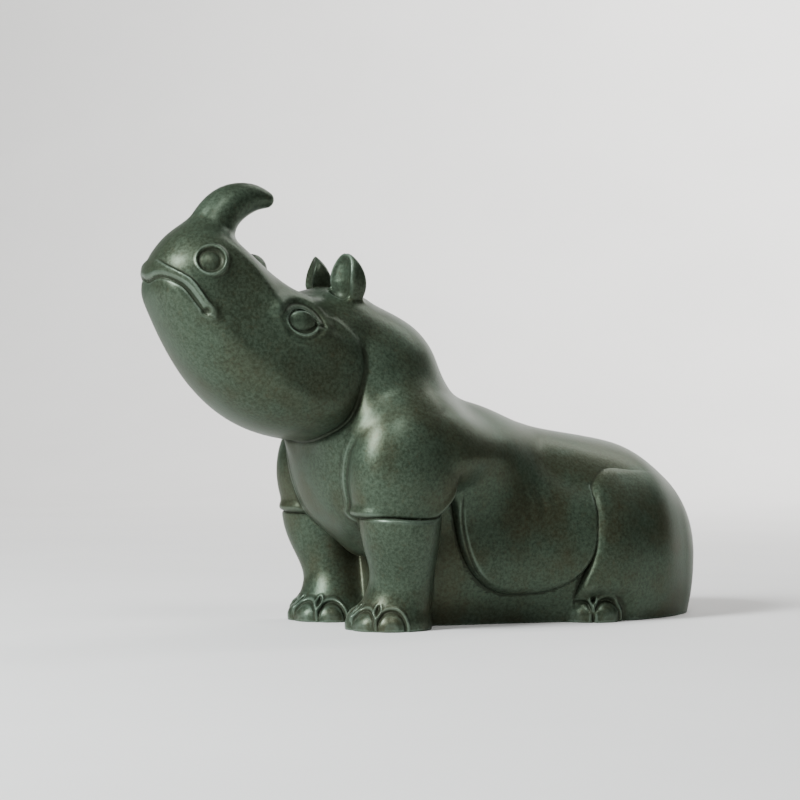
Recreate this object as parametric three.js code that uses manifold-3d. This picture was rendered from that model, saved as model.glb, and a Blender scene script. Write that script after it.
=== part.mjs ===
// A seated rhinoceros with its head thrown up, one bronze casting with a flat underside.
// Millimetres, +Z up, head toward -X. The near and far sides mirror each other in the plane y = 0.
// The form is one field: the distance from a point to the skin, negative inside the metal.
// Simple masses are blended into it, reliefs are pressed into it, and its zero surface is meshed.
import * as THREE from "three";
import { triTable } from "three/addons/objects/MarchingCubes.js";
import { mergeVertices } from "three/addons/utils/BufferGeometryUtils.js";
import Module from "manifold-3d";

// Driving dimensions. Places are [x, half-width, z], and "half-width" is measured from the mid-plane.
// Balls are [x, half-width, z, radius]. A ramp is [where it starts, where it ends].
// A ridge is { height, at, width }: a bell-shaped swelling across a line, at a distance from it.
const GRID = 2.1;
const FACES = 9800;

const TRUNK = {
  top: [[-80, 152], [-40, 149.5], [0, 142.5], [26, 136.8], [48, 129], [79, 120], [110, 111], [140, 100],
    [175, 77]],
  side: [[-60, 42], [-24, 46], [-5, 50], [30, 56.5], [72, 61], [110, 61.5], [150, 56], [180, 48]],
  waist: 36, below: 90, leastHeight: 10, power: 2.25, tuck: 0.15, tuckFrom: 46,
  front: -40, frontLean: 0.3, leanFrom: 55, frontFillet: 32,
  rear: 140, rearFillet: 20, rumpFillet: 22,
};
const RUMP = { centre: [107.5, 0, 38], radii: [81.6, 63, 72], power: 2.18, lowStretch: 0.72 };
const PANEL = {
  x: 28, z: 74, front: 41.7, rear: 53, depth: 55.2, frontPower: 2.3, rearPower: 2.6,
  swell: 5.5, frontSwell: 2, frontRamp: [20, -20],
  fadeFrom: 70, fadeTo: 114, fadeDrop: 26, dropRamp: [30, 75], fillet: 5, leastFillet: 0.05,
};
const PANEL_GROOVE = {
  depth: 1, width: 1.2, inset: 2.6, shift: 1.4, shiftRamp: [60, 30], along: [16, -6], up: [74, 86],
};
const RIBS = {
  height: 0.36, pitch: 10, x: 38.5, bow: 0.012, z: 72, middle: 77, halfLength: 12, halfHeight: 15,
};
const HAUNCH = {
  left: [[8, 63], [26, 69], [36, 73], [46, 75.8], [56, 77], [73, 78], [90, 79.5], [120, 80]],
  top: 99, corner: 25, fillet: 7,
  swell: 6.2, upRamp: [52, 106], backRamp: [88, 150],
  floor: 1.2, floorRamp: [88, 118], footUp: [24, 8], footBack: [112, 92],
};
const SHOULDER = {
  centre: [-42, 43.5, 95], radii: [43.2, 32, 50], rearRadius: 40, turn: 14,
  fillet: 3, rearFillet: 14, filletRamp: [-29, -20], spread: 6, wideSpread: 20, upRamp: [106, 142],
  backRamp: [-66, -14], backUpRamp: [82, 106],
};
const BLADE = { centre: [-8, 26, 103], radii: [48, 37, 26], fillet: 20 };
const HEM = {
  line: [[-110, 69], [-88, 68.8], [-60, 66.8], [-48, 66.4], [-40, 68.1], [-34, 72.3], [-29, 77.3], [-24, 82],
    [-18, 84], [-6, 85], [12, 86]],
  flare: 1, frontFlare: 1.8, frontRamp: [-66, -82], height: 2.2, width: 4.2,
};
const LEG = {
  x: [[4, -54], [14, -51], [26, -48.4], [36, -49.4], [46, -51.4], [57, -53], [80, -54]],
  w: [[4, 38.6], [14, 40.2], [26, 42.5], [36, 46.2], [46, 49], [57, 50.8], [80, 52]],
  radius: [[4, 24], [14, 22.2], [26, 20.2], [36, 20.2], [46, 22], [57, 24.1], [80, 25.4]],
  above: 1, fillet: 3, trunkFillet: 1.5, lowFillet: 7, lowRamp: [56, 40],
};
const NECK = {
  poll: [-71.5, 0, 167.5, 39.4], crest: [-51, 0, 148, 46.2], root: [-40, 0, 118, 48],
  fillet: 8, firmRamp: [108, 150], firmFillet: 2.6, softFillet: 14.9,
  collar: { height: 1.1, at: 2.2, width: 1.6 },
};
const CHEST = {
  x: -50, power: 2.9, top: 128, topFillet: 20, bottom: 42, bottomFillet: 5, neckFillet: 14,
  front: [[40, 3], [48, 11], [56, 19.5], [64, 27], [74, 33.5], [86, 38], [100, 40.5], [116, 41.8], [130, 42]],
  half: [[38, 9], [50, 18.5], [58, 26.5], [65, 35.5], [78, 42.5], [90, 47], [104, 50.5], [130, 50.5]],
};

// The head's own frame: [toward the nose, toward the crown].
const PITCH = { cos: 0.8, sin: 0.6 };
const HEAD = {
  centre: [206, 60], round: 37, power: 2.2, skullFillet: 10,
  outline: [[128.5, 68], [128.5, 54], [136, 41.5], [151, 30.5], [172, 21.3], [204, 17.3], [228, 20.8],
    [251, 29], [270, 38.8], [282.8, 48.2], [288.8, 57], [290.4, 69], [287.5, 85.5], [273.5, 99], [250, 101],
    [222, 98],
    [196, 100.5], [166, 103.5], [144, 98.5], [133.5, 86]],
  side: [[120, 46.5], [150, 47], [175, 46.5], [200, 45.5], [225, 41], [250, 36.5], [275, 33.5], [300, 31]],
};
const SKULL = { centre: [-88, 0, 176], radii: [34, 35, 29] };
const CHEEK = { lowRamp: [166, 190], fillet: 15.5, lowFillet: 13.3, crease: 0.45, sideRamp: [8, 26] };
const CHEEK_COLLAR = { height: 1.5, at: 4.5, width: 8 };
const CHEEKBONE = { from: [-93, 38.5, 188, 0], to: [-79.5, 42.5, 174, 0], height: 1.1, width: 3.6 };
const HORN = {
  balls: [[-163, 0, 223, 20.5], [-157.2, 0, 238.8, 15.6], [-151.1, 0, 250.6, 13.4], [-141.8, 0, 258.6, 11.8],
    [-129.6, 0, 262.4, 8.7], [-119.2, 0, 261.8, 5.3]],
  pieces: 12, fillet: 9, above: 190,
};
const SECOND_HORN = { foot: [-130, 0, 203, 14], tip: [-128.8, 0, 218.8, 9.6], fillet: 6 };
const BROW_RIDGE = { front: [-142, 14, 212.5, 5.5], rear: [-106, 25, 192.5, 7], fillet: 14 };
const MOUTH = {
  from: 225, level: 54, corner: 254, droop: 6.2, droopRamp: [276, 252],
  beak: 3.5, beakWidth: 11, middle: 15, firmRamp: [251, 263],
  thick: 4.6, middleThick: 6.5, thickWidth: 12, cornerRamp: [248, 256], cornerWidth: 22, cornerFade: [-9, 0],
  lip: 1.35, lipStart: [-0.3, 0.95], lipEnd: [0.98, 1.22],
  softLip: { height: 0.75, at: 0.9, width: 0.62 }, middleLip: { height: 0.7, at: 0.1, width: 0.45 },
  crest: 0.3, crestWidth: 0.9, crestLoss: 0.9,
  valley: 0.5, valleyOut: 4, valleyWidth: 3.2, valleyLoss: 0.6, valleyRamp: [-4, 6],
  setBack: 1.2, setBackReach: 6, setBackRamp: [254, 268], edgeRamp: [1.5, -0.5],
  slit: 0.6, deepSlit: 0.5, slitWidth: 1.1, slitRamp: [284, 270],
  under: { height: 1.2, at: -8, width: 6 }, underAlong: { height: 1, at: 275, width: 12 }, underLoss: 0.7,
  pit: [-175.5, 35, 191.5], pitRadius: 2.3, pitFillet: 2,
};
const NOSTRIL = {
  centre: [-170.6, 31.6, 222], faces: [-0.3, 0.9, 0.33],
  swell: 1.3, swellWidth: 13, swellDepth: 10,
  ring: 9, ringOut: 0.6, bead: -0.8, rearBead: 1, beadRamp: [-6, 7], ringFillet: 3,
  hollow: 8.3, hollowOut: 1.2, hollowFlat: 2.2, hollowSlope: 0.7, hollowFillet: 0.9,
  dome: 7.5, domeAhead: 1, domeBelow: 0.5, domeIn: 3, domeFlat: 2.2, domeSlope: 0.7, domeFillet: 0.8,
};
const EYE = {
  centre: [-115.4, 34, 186], slope: -11, arc: 10.6, offset: 3.6, blend: 3, lowRim: 0.3,
  rim: { height: 0.55, at: 0.6, width: 0.8 },
  hood: { height: 0.7, at: 1.6, width: 1.9 },
  fold: { height: 0.25, at: 4.4, width: 1.2 },
  brow: { height: 1.3, at: 8, width: 4 },
  trough: { height: 0.25, at: 3.4, width: 1.4 },
  bag: { height: 0.35, at: 6, width: 2.6 },
  tear: 4.6, tearCut: { height: 0.8, at: 0, width: 0.9 },
  socket: 1.5, socketRamp: [0.5, -0.4], ballEdge: 0.3, edge: 0.5, leastWidth: 20,
};
const EYEBALL = { centre: [-115, 33.4, 186], radii: [14, 10.6, 11.5] };
const EAR = {
  centre: [-74, 20, 214], turn: 14, lift: 5, liftFrom: 7.5, half: 11, above: 17, below: 17.5, leafSize: 10,
  footRamp: [-1, -12], footLean: 3.4, tipRamp: [2, 17], tipLean: 2.2,
  front: 6.4, back: 9.9, backCurve: 12, backFrom: 10, backOver: 27, bladeFillet: 5, fillet: 3.5,
  cup: [9.7, 6, 14.4], cupOut: 1.4, cupUp: 0.6, cupSize: 6, cupFillet: 1,
};
const FORE_FOOT = {
  centre: [-54, 38.3], radius: 24.6, height: 14,
  nails: [-64, -21, 21, 64], nailHalf: 8.6, nailTop: 12, reach: 25.5,
};
const HIND_FOOT = {
  centre: [85.4, 51.4], radius: 18.4, height: 16.5,
  nails: [29, 91], nailHalf: 10.2, nailTop: 13.8, reach: 19.4,
};
const PAD = {
  bulge: { height: 1.5, at: 5, width: 9 }, topFillet: 12, fillet: 3, reliefRamp: [1.4, 4.4], slack: 12,
};
const NAIL = {
  power: 2.3, height: 1.2, dome: [1, 0.3], widest: 45,
  groove: { height: 0.8, at: 1, width: 0.11 }, cuticle: { height: 0.7, at: 1.2, width: 0.12 },
};
const TEARDROP = {
  above: 1, long: 0.62, widest: 20,
  rim: { height: 0.6, at: 2.4, width: 0.9 }, hollow: { height: 1.3, at: 0, width: 1.4 },
};
const TAIL = {
  balls: [[153.5, 0, 98, 2], [169, 0, 86, 3.2], [177.6, 0, 74, 4.2], [182.7, 0, 62, 4.6], [185.4, 0, 48, 5],
    [185.2, 0, 36, 5.8]],
  pieces: 8, fillet: 4, from: 120,
};
// Rounds the field over the mid-plane, so that both halves meet smoothly.
const MIDPLANE = 0.6;
// The figure is grown a little below its base, and the ground then cuts it off flat.
const BASE_SPARE = 3;
const GROUND = { length: 600, width: 400, depth: 40 };

// Small mathematics. A number near nothing keeps roots and divisions safe.
const NEAR_NOTHING = 1e-5;
const clamp = (t, lo, hi) => Math.min(Math.max(t, lo), hi);
const bell = (t, width) => Math.exp(-((t / width) ** 2));
const ridge = ({ height, at, width }, t) => height * bell(t - at, width);
const radians = THREE.MathUtils.degToRad;

function ramp([from, to], t) {
  const s = clamp((t - from) / (to - from), 0, 1);
  return s * s * (3 - 2 * s);
}

// The nearer of two skins, rounded over a fillet of the given size.
function join(a, b, fillet) {
  const h = Math.max(fillet - Math.abs(a - b), 0) / fillet;
  return Math.min(a, b) - (h * h * fillet) / 4;
}

// What two masses share, with its edge rounded.
const trim = (a, b, fillet) => -join(-a, -b, fillet);

// Two masses that meet in a crease, whose bed is cut a little deeper.
const CREASE_WIDTH = 1.8;
const creased = (a, b, fillet, depth) => join(a, b, fillet) + depth * bell(Math.hypot(a, b), CREASE_WIDTH);

// A smooth curve through the points [t, value], flat in its second derivative at the ends.
function smoothCurve(points) {
  const n = points.length;
  const step = (i) => points[i + 1][0] - points[i][0];
  const slope = (i) => (points[i + 1][1] - points[i][1]) / step(i);
  const bend = new Array(n).fill(0);
  const carry = new Array(n).fill(0);
  for (let i = 1; i < n - 1; i += 1) {
    const pivot = 2 * (step(i - 1) + step(i)) - step(i - 1) * carry[i - 1];
    carry[i] = step(i) / pivot;
    bend[i] = (6 * (slope(i) - slope(i - 1)) - step(i - 1) * bend[i - 1]) / pivot;
  }
  for (let i = n - 2; i > 0; i -= 1) {
    bend[i] -= carry[i] * bend[i + 1];
  }
  return (at) => {
    const t = clamp(at, points[0][0], points[n - 1][0]);
    let i = 0;
    while (i < n - 2 && t > points[i + 1][0]) {
      i += 1;
    }
    const h = step(i);
    const a = points[i + 1][0] - t;
    const c = t - points[i][0];
    const curved = (bend[i] * a ** 3 + bend[i + 1] * c ** 3) / (6 * h);
    const first = (points[i][1] / h - (bend[i] * h) / 6) * a;
    const second = (points[i + 1][1] / h - (bend[i + 1] * h) / 6) * c;
    return curved + first + second;
  };
}

// A closed outline around a centre, as its radius against the angle.
function outlineRadius([cx, cz], points) {
  const polar = points.map(([x, z]) => [Math.atan2(z - cz, x - cx), Math.hypot(x - cx, z - cz)]);
  polar.sort((a, b) => a[0] - b[0]);
  const wrap = 3;
  const before = polar.slice(-wrap).map(([angle, r]) => [angle - 2 * Math.PI, r]);
  const after = polar.slice(0, wrap).map(([angle, r]) => [angle + 2 * Math.PI, r]);
  return smoothCurve([...before, ...polar, ...after]);
}

// Simple masses, each a distance at the point (x, w, z), where w is the half-width.
function ellipsoid(x, w, z, { centre: [cx, cw, cz], radii: [rx, rw, rz] }) {
  const dx = (x - cx) / rx;
  const dw = (w - cw) / rw;
  const dz = (z - cz) / rz;
  const scaled = Math.hypot(dx, dw, dz);
  const steep = Math.hypot(dx / rx, dw / rw, dz / rz);
  return (scaled * (scaled - 1)) / Math.max(steep, NEAR_NOTHING);
}

// A round bar that tapers from one ball to another.
function bar(x, w, z, [ax, aw, az, ar], [bx, bw, bz, br]) {
  const vx = bx - ax;
  const vw = bw - aw;
  const vz = bz - az;
  const px = x - ax;
  const pw = w - aw;
  const pz = z - az;
  const length = Math.hypot(vx, vw, vz);
  const slant = (ar - br) / length;
  const along = (px * vx + pw * vw + pz * vz) / length;
  const across = Math.sqrt(Math.max(px * px + pw * pw + pz * pz - along * along, 0));
  const share = clamp((along - (across * slant) / Math.sqrt(1 - slant * slant)) / length, 0, 1);
  return Math.hypot(across, along - share * length) - (ar + (br - ar) * share);
}

// A round limb along a smooth spine through the balls.
function sweptLimb(balls, pieces) {
  const curves = [0, 1, 2, 3].map((k) => smoothCurve(balls.map((ball, i) => [i, ball[k]])));
  const spine = [];
  for (let i = 0; i <= pieces; i += 1) {
    spine.push(curves.map((curve) => curve((i * (balls.length - 1)) / pieces)));
  }
  return (x, w, z) => {
    let distance = Infinity;
    for (let i = 0; i < pieces; i += 1) {
      distance = Math.min(distance, bar(x, w, z, spine[i], spine[i + 1]));
    }
    return distance;
  };
}

// How far a point lies outside a swollen section, along the ray from the section's centre.
const LEAST_SCALE = 0.005;
const DEEPEST = -50;

function beyondSwollen(reach, powers, power) {
  const scaled = Math.max(powers ** (1 / power), LEAST_SCALE);
  return Math.max(reach - reach / scaled, DEEPEST);
}

// The trunk: a barrel lofted along x, and the rump that closes it.
const trunkTop = smoothCurve(TRUNK.top);
const trunkSide = smoothCurve(TRUNK.side);
const BARREL_SLOPE = 0.9;

function barrel(x, w, z) {
  const tuck = TRUNK.tuck * clamp((TRUNK.tuckFrom - z) / TRUNK.tuckFrom, 0, 1) ** 2;
  const half = trunkSide(x) * (1 - tuck);
  const up = z - TRUNK.waist;
  const tall = up > 0 ? Math.max(trunkTop(x) - TRUNK.waist, TRUNK.leastHeight) : TRUNK.below;
  const powers = Math.abs(w / half) ** TRUNK.power + Math.abs(up / tall) ** TRUNK.power;
  const section = beyondSwollen(Math.hypot(w, up), powers, TRUNK.power) * BARREL_SLOPE;
  const front = TRUNK.front - x - TRUNK.frontLean * Math.max(z - TRUNK.leanFrom, 0);
  return trim(trim(section, front, TRUNK.frontFillet), x - TRUNK.rear, TRUNK.rearFillet);
}

function rump(x, w, z) {
  const { centre: [cx, , cz], radii: [rx, rw, rz], power, lowStretch } = RUMP;
  const dx = x - cx;
  const dz = (z - cz) * (z < cz ? lowStretch : 1);
  const powers = Math.abs(dx / rx) ** power + Math.abs(w / rw) ** power + Math.abs(dz / rz) ** power;
  return beyondSwollen(Math.hypot(dx, w, dz), powers, power);
}

// The belly panel stands proud of the barrel inside a rounded rim, and fades out toward the back.
function panel(x, z, trunk) {
  const ahead = x < PANEL.x;
  const power = ahead ? PANEL.frontPower : PANEL.rearPower;
  const across = Math.abs(x - PANEL.x) / (ahead ? PANEL.front : PANEL.rear);
  const down = Math.max(PANEL.z - z, 0) / PANEL.depth;
  const rim = ((across ** power + down ** power + NEAR_NOTHING) ** (1 / power) - 1) * PANEL.depth;
  const fade = 1 - ramp([PANEL.fadeFrom, PANEL.fadeTo - PANEL.fadeDrop * ramp(PANEL.dropRamp, x)], z);
  const swell = (PANEL.swell + PANEL.frontSwell * ramp(PANEL.frontRamp, x)) * fade;
  const leftward = ramp(PANEL_GROOVE.along, x) * (1 - ramp(PANEL_GROOVE.up, z));
  const inset = PANEL_GROOVE.inset - PANEL_GROOVE.shift * ramp(PANEL_GROOVE.shiftRamp, z);
  const groove = PANEL_GROOVE.depth * bell(rim + inset, PANEL_GROOVE.width) * leftward;
  const bow = x - RIBS.x + RIBS.bow * (z - RIBS.z) ** 2;
  const wave = Math.cos((bow * 2 * Math.PI) / RIBS.pitch);
  const ribs = RIBS.height * wave * bell(bow, RIBS.halfLength) * bell(z - RIBS.middle, RIBS.halfHeight);
  return trim(trunk - swell + groove - ribs, rim, clamp(swell, PANEL.leastFillet, PANEL.fillet));
}

// The haunch stands proud behind a rounded edge, draws in above the foot and dies into the rump.
const haunchLeft = smoothCurve(HAUNCH.left);

function haunch(x, z, trunk) {
  const right = haunchLeft(z) - x + HAUNCH.corner;
  const above = z - HAUNCH.top + HAUNCH.corner;
  const outside = Math.hypot(Math.max(right, 0), Math.max(above, 0));
  const edge = outside + Math.min(Math.max(right, above), 0) - HAUNCH.corner;
  const main = HAUNCH.swell * (1 - ramp(HAUNCH.upRamp, z)) * (1 - ramp(HAUNCH.backRamp, x));
  const overFoot = 1 - ramp(HAUNCH.footUp, z) * ramp(HAUNCH.footBack, x);
  const swell = (main + HAUNCH.floor * (1 - ramp(HAUNCH.floorRamp, x))) * overFoot;
  return trim(trunk - swell, edge, HAUNCH.fillet);
}

// The shoulder ends below in a sleeve-like hem, and the fore leg stands under it.
const hemHeight = smoothCurve(HEM.line);
const legX = smoothCurve(LEG.x);
const legW = smoothCurve(LEG.w);
const legRadius = smoothCurve(LEG.radius);
const BALL_SLOPE = 0.9;
const LEG_SLOPE = 0.95;

function shoulder(x, w, z, hem) {
  const cos = Math.cos(radians(SHOULDER.turn));
  const sin = Math.sin(radians(SHOULDER.turn));
  const dx = x - SHOULDER.centre[0];
  const dw = w - SHOULDER.centre[1];
  const ahead = sin * dw - cos * dx;
  const stretched = ahead < 0 ? (ahead * SHOULDER.radii[0]) / SHOULDER.rearRadius : ahead;
  const turned = { centre: [0, 0, SHOULDER.centre[2]], radii: SHOULDER.radii };
  const ball = ellipsoid(stretched, sin * dx + cos * dw, z, turned) * BALL_SLOPE;
  const flare = (HEM.flare + HEM.frontFlare * ramp(HEM.frontRamp, x)) * bell(z - hem - HEM.height, HEM.width);
  return trim(ball - flare, hem - z, SHOULDER.fillet + SHOULDER.rearFillet * ramp(SHOULDER.filletRamp, x));
}

function foreLeg(x, w, z, hem) {
  const column = (Math.hypot(x - legX(z), w - legW(z)) - legRadius(z)) * LEG_SLOPE;
  return trim(column, z - hem - LEG.above, LEG.fillet);
}

function foreQuarter(x, w, z, body) {
  const hem = hemHeight(x);
  const covered = join(body, ellipsoid(x, w, z, BLADE), BLADE.fillet);
  const behind = ramp(SHOULDER.backRamp, x) * ramp(SHOULDER.backUpRamp, z);
  const spread = SHOULDER.spread + SHOULDER.wideSpread * Math.max(ramp(SHOULDER.upRamp, z), behind);
  const legFillet = LEG.trunkFillet + LEG.lowFillet * ramp(LEG.lowRamp, z);
  const upper = join(covered, shoulder(x, w, z, hem), spread);
  return Math.min(upper, join(body, foreLeg(x, w, z, hem), legFillet));
}

const chestFront = smoothCurve(CHEST.front);
const chestHalf = smoothCurve(CHEST.half);
const CHEST_SLOPE = 0.8;

function neckAndChest(x, w, z) {
  const neck = join(bar(x, w, z, NECK.poll, NECK.crest), bar(x, w, z, NECK.crest, NECK.root), NECK.fillet);
  const dx = x - CHEST.x;
  const powers = Math.abs(dx / chestFront(z)) ** CHEST.power + (w / chestHalf(z)) ** CHEST.power;
  const section = beyondSwollen(Math.hypot(dx, w), powers, CHEST.power) * CHEST_SLOPE;
  const below = trim(section, z - CHEST.top, CHEST.topFillet);
  return join(neck, trim(below, CHEST.bottom - z, CHEST.bottomFillet), CHEST.neckFillet);
}

// The head: its side outline rounded over toward both cheeks, and the skull behind it.
const headRadius = outlineRadius(HEAD.centre, HEAD.outline);
const headSide = smoothCurve(HEAD.side);
const ROUNDING_IN = 4;

function headMass(x, w, z, forward, crown) {
  const df = forward - HEAD.centre[0];
  const dc = crown - HEAD.centre[1];
  const depth = Math.max(Math.hypot(df, dc) - headRadius(Math.atan2(dc, df)) + HEAD.round, 0);
  const inward = (depth ** 2 / (depth + ROUNDING_IN)) * (1 + ROUNDING_IN / HEAD.round);
  const half = headSide(forward);
  const outward = (w * HEAD.round) / half;
  const powers = inward ** HEAD.power + outward ** HEAD.power + NEAR_NOTHING;
  const rounded = powers ** (1 / HEAD.power) - HEAD.round;
  return join(rounded * Math.min(half / HEAD.round, 1), ellipsoid(x, w, z, SKULL), HEAD.skullFillet);
}

// The rolled upper lip with the seam under it, turning down round the corner of the mouth.
function mouthRelief(forward, crown, w) {
  const middle = bell(w, MOUTH.middle);
  const droop = MOUTH.droop * ramp(MOUTH.droopRamp, forward);
  const seam = MOUTH.level - droop - MOUTH.beak * bell(w, MOUTH.beakWidth);
  const up = crown - seam;
  const away = forward > MOUTH.corner ? Math.abs(up) : Math.hypot(forward - MOUTH.corner, up);
  const behind = (1 - ramp(MOUTH.cornerRamp, forward)) * (1 - bell(w, MOUTH.cornerWidth));
  const roundCorner = behind * ramp(MOUTH.cornerFade, up);
  const thick = MOUTH.thick + MOUTH.middleThick * bell(w, MOUTH.thickWidth);
  const across = away / thick;
  const firm = ramp(MOUTH.firmRamp, forward);
  const edged = ramp(MOUTH.lipStart, across) * (1 - ramp(MOUTH.lipEnd, across));
  const side = firm * edged + (1 - firm) * ridge(MOUTH.softLip, across);
  const lip = MOUTH.lip * side * (1 - middle) + middle * ridge(MOUTH.middleLip, across);
  const crest = MOUTH.crest * bell(away - thick, MOUTH.crestWidth) * firm * (1 - MOUTH.crestLoss * middle);
  const outside = bell(away - thick - MOUTH.valleyOut, MOUTH.valleyWidth) * ramp(MOUTH.valleyRamp, up);
  const valley = MOUTH.valley * outside * (1 - MOUTH.valleyLoss * middle);
  const lower = Math.exp(Math.min(up, 0) / MOUTH.setBackReach) * ramp(MOUTH.edgeRamp, up);
  const setBack = MOUTH.setBack * lower * ramp(MOUTH.setBackRamp, forward);
  const under = ridge(MOUTH.under, up) * ridge(MOUTH.underAlong, forward) * (1 - MOUTH.underLoss * middle);
  const rolled = (lip + crest) * (up > 0 ? 1 : roundCorner);
  const slit = (MOUTH.slit + MOUTH.deepSlit * ramp(MOUTH.slitRamp, forward)) * bell(away, MOUTH.slitWidth);
  return rolled + under - setBack - valley - slit;
}

function mouth(x, w, z, skin, forward, crown) {
  const pit = Math.hypot(x - MOUTH.pit[0], w - MOUTH.pit[1], z - MOUTH.pit[2]) - MOUTH.pitRadius;
  return trim(skin - mouthRelief(forward, crown, w), -pit, MOUTH.pitFillet);
}

// A nostril: a shallow round hollow with a broad low dome in it, and a thin rim on its rear side.
function nostril(x, w, z, skin) {
  const [fx, fw, fz] = NOSTRIL.faces;
  const [dx, dw, dz] = [x - NOSTRIL.centre[0], w - NOSTRIL.centre[1], z - NOSTRIL.centre[2]];
  const out = (dx * fx + dw * fw + dz * fz) / Math.hypot(fx, fw, fz);
  const around = Math.sqrt(Math.max(dx * dx + dw * dw + dz * dz - out * out, 0));
  const swell = NOSTRIL.swell * bell(around, NOSTRIL.swellWidth) * bell(out, NOSTRIL.swellDepth);
  const bead = NOSTRIL.bead + (NOSTRIL.rearBead - NOSTRIL.bead) * ramp(NOSTRIL.beadRamp, dx);
  const ring = Math.hypot(around - NOSTRIL.ring, out - NOSTRIL.ringOut) - bead;
  const hollow = Math.hypot(around, (out - NOSTRIL.hollowOut) * NOSTRIL.hollowFlat) - NOSTRIL.hollow;
  const [sx, sz] = [dx + NOSTRIL.domeAhead, dz + NOSTRIL.domeBelow];
  const aside = Math.sqrt(Math.max(sx * sx + dw * dw + sz * sz - out * out, 0));
  const dome = Math.hypot(aside, (out + NOSTRIL.domeIn) * NOSTRIL.domeFlat) - NOSTRIL.dome;
  const ringed = join(skin - swell, ring, NOSTRIL.ringFillet);
  const hollowed = trim(ringed, -hollow * NOSTRIL.hollowSlope, NOSTRIL.hollowFillet);
  return join(hollowed, dome * NOSTRIL.domeSlope, NOSTRIL.domeFillet);
}

// An almond eye: the ball inside a lens-shaped opening, with rolled lids, a brow, a soft bag
// and a short line that runs back from the rear corner.
function eye(x, w, z, skin) {
  if (w < EYE.leastWidth) {
    return skin;
  }
  const cos = Math.cos(radians(EYE.slope));
  const sin = Math.sin(radians(EYE.slope));
  const dx = x - EYE.centre[0];
  const dz = z - EYE.centre[2];
  const a = dx * cos + dz * sin;
  const b = dz * cos - dx * sin;
  const side = Math.abs(a);
  const corner = Math.sqrt(EYE.arc ** 2 - EYE.offset ** 2);
  const pastCorner = Math.abs(b) * corner < (side - corner) * EYE.offset;
  const lens = Math.hypot(side, Math.abs(b) + EYE.offset) - EYE.arc;
  const lid = pastCorner ? Math.hypot(side - corner, b) : lens;
  const upper = ramp([-EYE.blend, EYE.blend], b);
  const lower = 1 - upper;
  const rim = ridge(EYE.rim, lid) * (EYE.lowRim + (1 - EYE.lowRim) * lower);
  const above = (ridge(EYE.hood, lid) - ridge(EYE.fold, lid) + ridge(EYE.brow, lid)) * upper;
  const below = (ridge(EYE.bag, lid) - ridge(EYE.trough, lid)) * lower;
  const half = EYE.tear / 2;
  const tear = Math.hypot(Math.max(Math.abs(a - corner - half) - half, 0), b);
  const lids = skin - rim - above - below + ridge(EYE.tearCut, tear);
  if (lid > EYE.edge) {
    return lids;
  }
  const socket = lids + EYE.socket * ramp(EYE.socketRamp, lid);
  return Math.min(socket, Math.max(ellipsoid(x, w, z, EYEBALL), lid + EYE.ballEdge));
}

// An oval ear, hollowed on the side that it turns forward. Its rim leans back at the tip and the foot.
function ear(x, w, z, skin) {
  const turn = radians(EAR.turn);
  const lift = radians(EAR.lift);
  const [nx, nw, nz] = [-Math.cos(turn) * Math.cos(lift), Math.sin(turn) * Math.cos(lift), Math.sin(lift)];
  const [dx, dw, dz] = [x - EAR.centre[0], w - EAR.centre[1], z - EAR.centre[2]];
  const out = dx * nx + dw * nw + (dz + EAR.liftFrom) * nz;
  const across = (dx * nw - dw * nx) / Math.hypot(nx, nw);
  const ahead = out + EAR.footLean * ramp(EAR.footRamp, dz) + EAR.tipLean * ramp(EAR.tipRamp, dz);
  const leaf = (Math.hypot(across / EAR.half, dz / (dz > 0 ? EAR.above : EAR.below)) - 1) * EAR.leafSize;
  const back = EAR.backCurve * clamp((dz + EAR.backFrom) / EAR.backOver, 0, 1) ** 2 - EAR.back;
  const blade = trim(leaf, Math.max(ahead - EAR.front, back - out), EAR.bladeFillet);
  const [cupAcross, cupDeep, cupTall] = EAR.cup;
  const deep = (ahead - EAR.front - EAR.cupOut) / cupDeep;
  const cup = Math.hypot(across / cupAcross, deep, (dz - EAR.cupUp) / cupTall) - 1;
  return trim(join(skin, blade, EAR.fillet), -EAR.cupSize * cup, EAR.cupFillet);
}

const horn = sweptLimb(HORN.balls, HORN.pieces);

function head(x, w, z, body) {
  const forward = PITCH.sin * z - PITCH.cos * x;
  const crown = PITCH.cos * z + PITCH.sin * x;
  const face = headMass(x, w, z, forward, crown);
  const low = 1 - ramp(CHEEK.lowRamp, z);
  const collared = body - ridge(CHEEK_COLLAR, face) * low * ramp(CHEEK.sideRamp, w);
  let skin = creased(collared, face, CHEEK.fillet - CHEEK.lowFillet * low, CHEEK.crease * low);
  if (z > HORN.above) {
    skin = join(skin, horn(x, w, z), HORN.fillet);
    skin = join(skin, bar(x, w, z, SECOND_HORN.foot, SECOND_HORN.tip), SECOND_HORN.fillet);
  }
  skin = join(skin, bar(x, w, z, BROW_RIDGE.front, BROW_RIDGE.rear), BROW_RIDGE.fillet);
  skin -= CHEEKBONE.height * bell(bar(x, w, z, CHEEKBONE.from, CHEEKBONE.to), CHEEKBONE.width);
  if (forward > MOUTH.from) {
    skin = mouth(x, w, z, skin, forward, crown);
  }
  return ear(x, w, z, eye(x, w, z, nostril(x, w, z, skin)));
}

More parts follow.
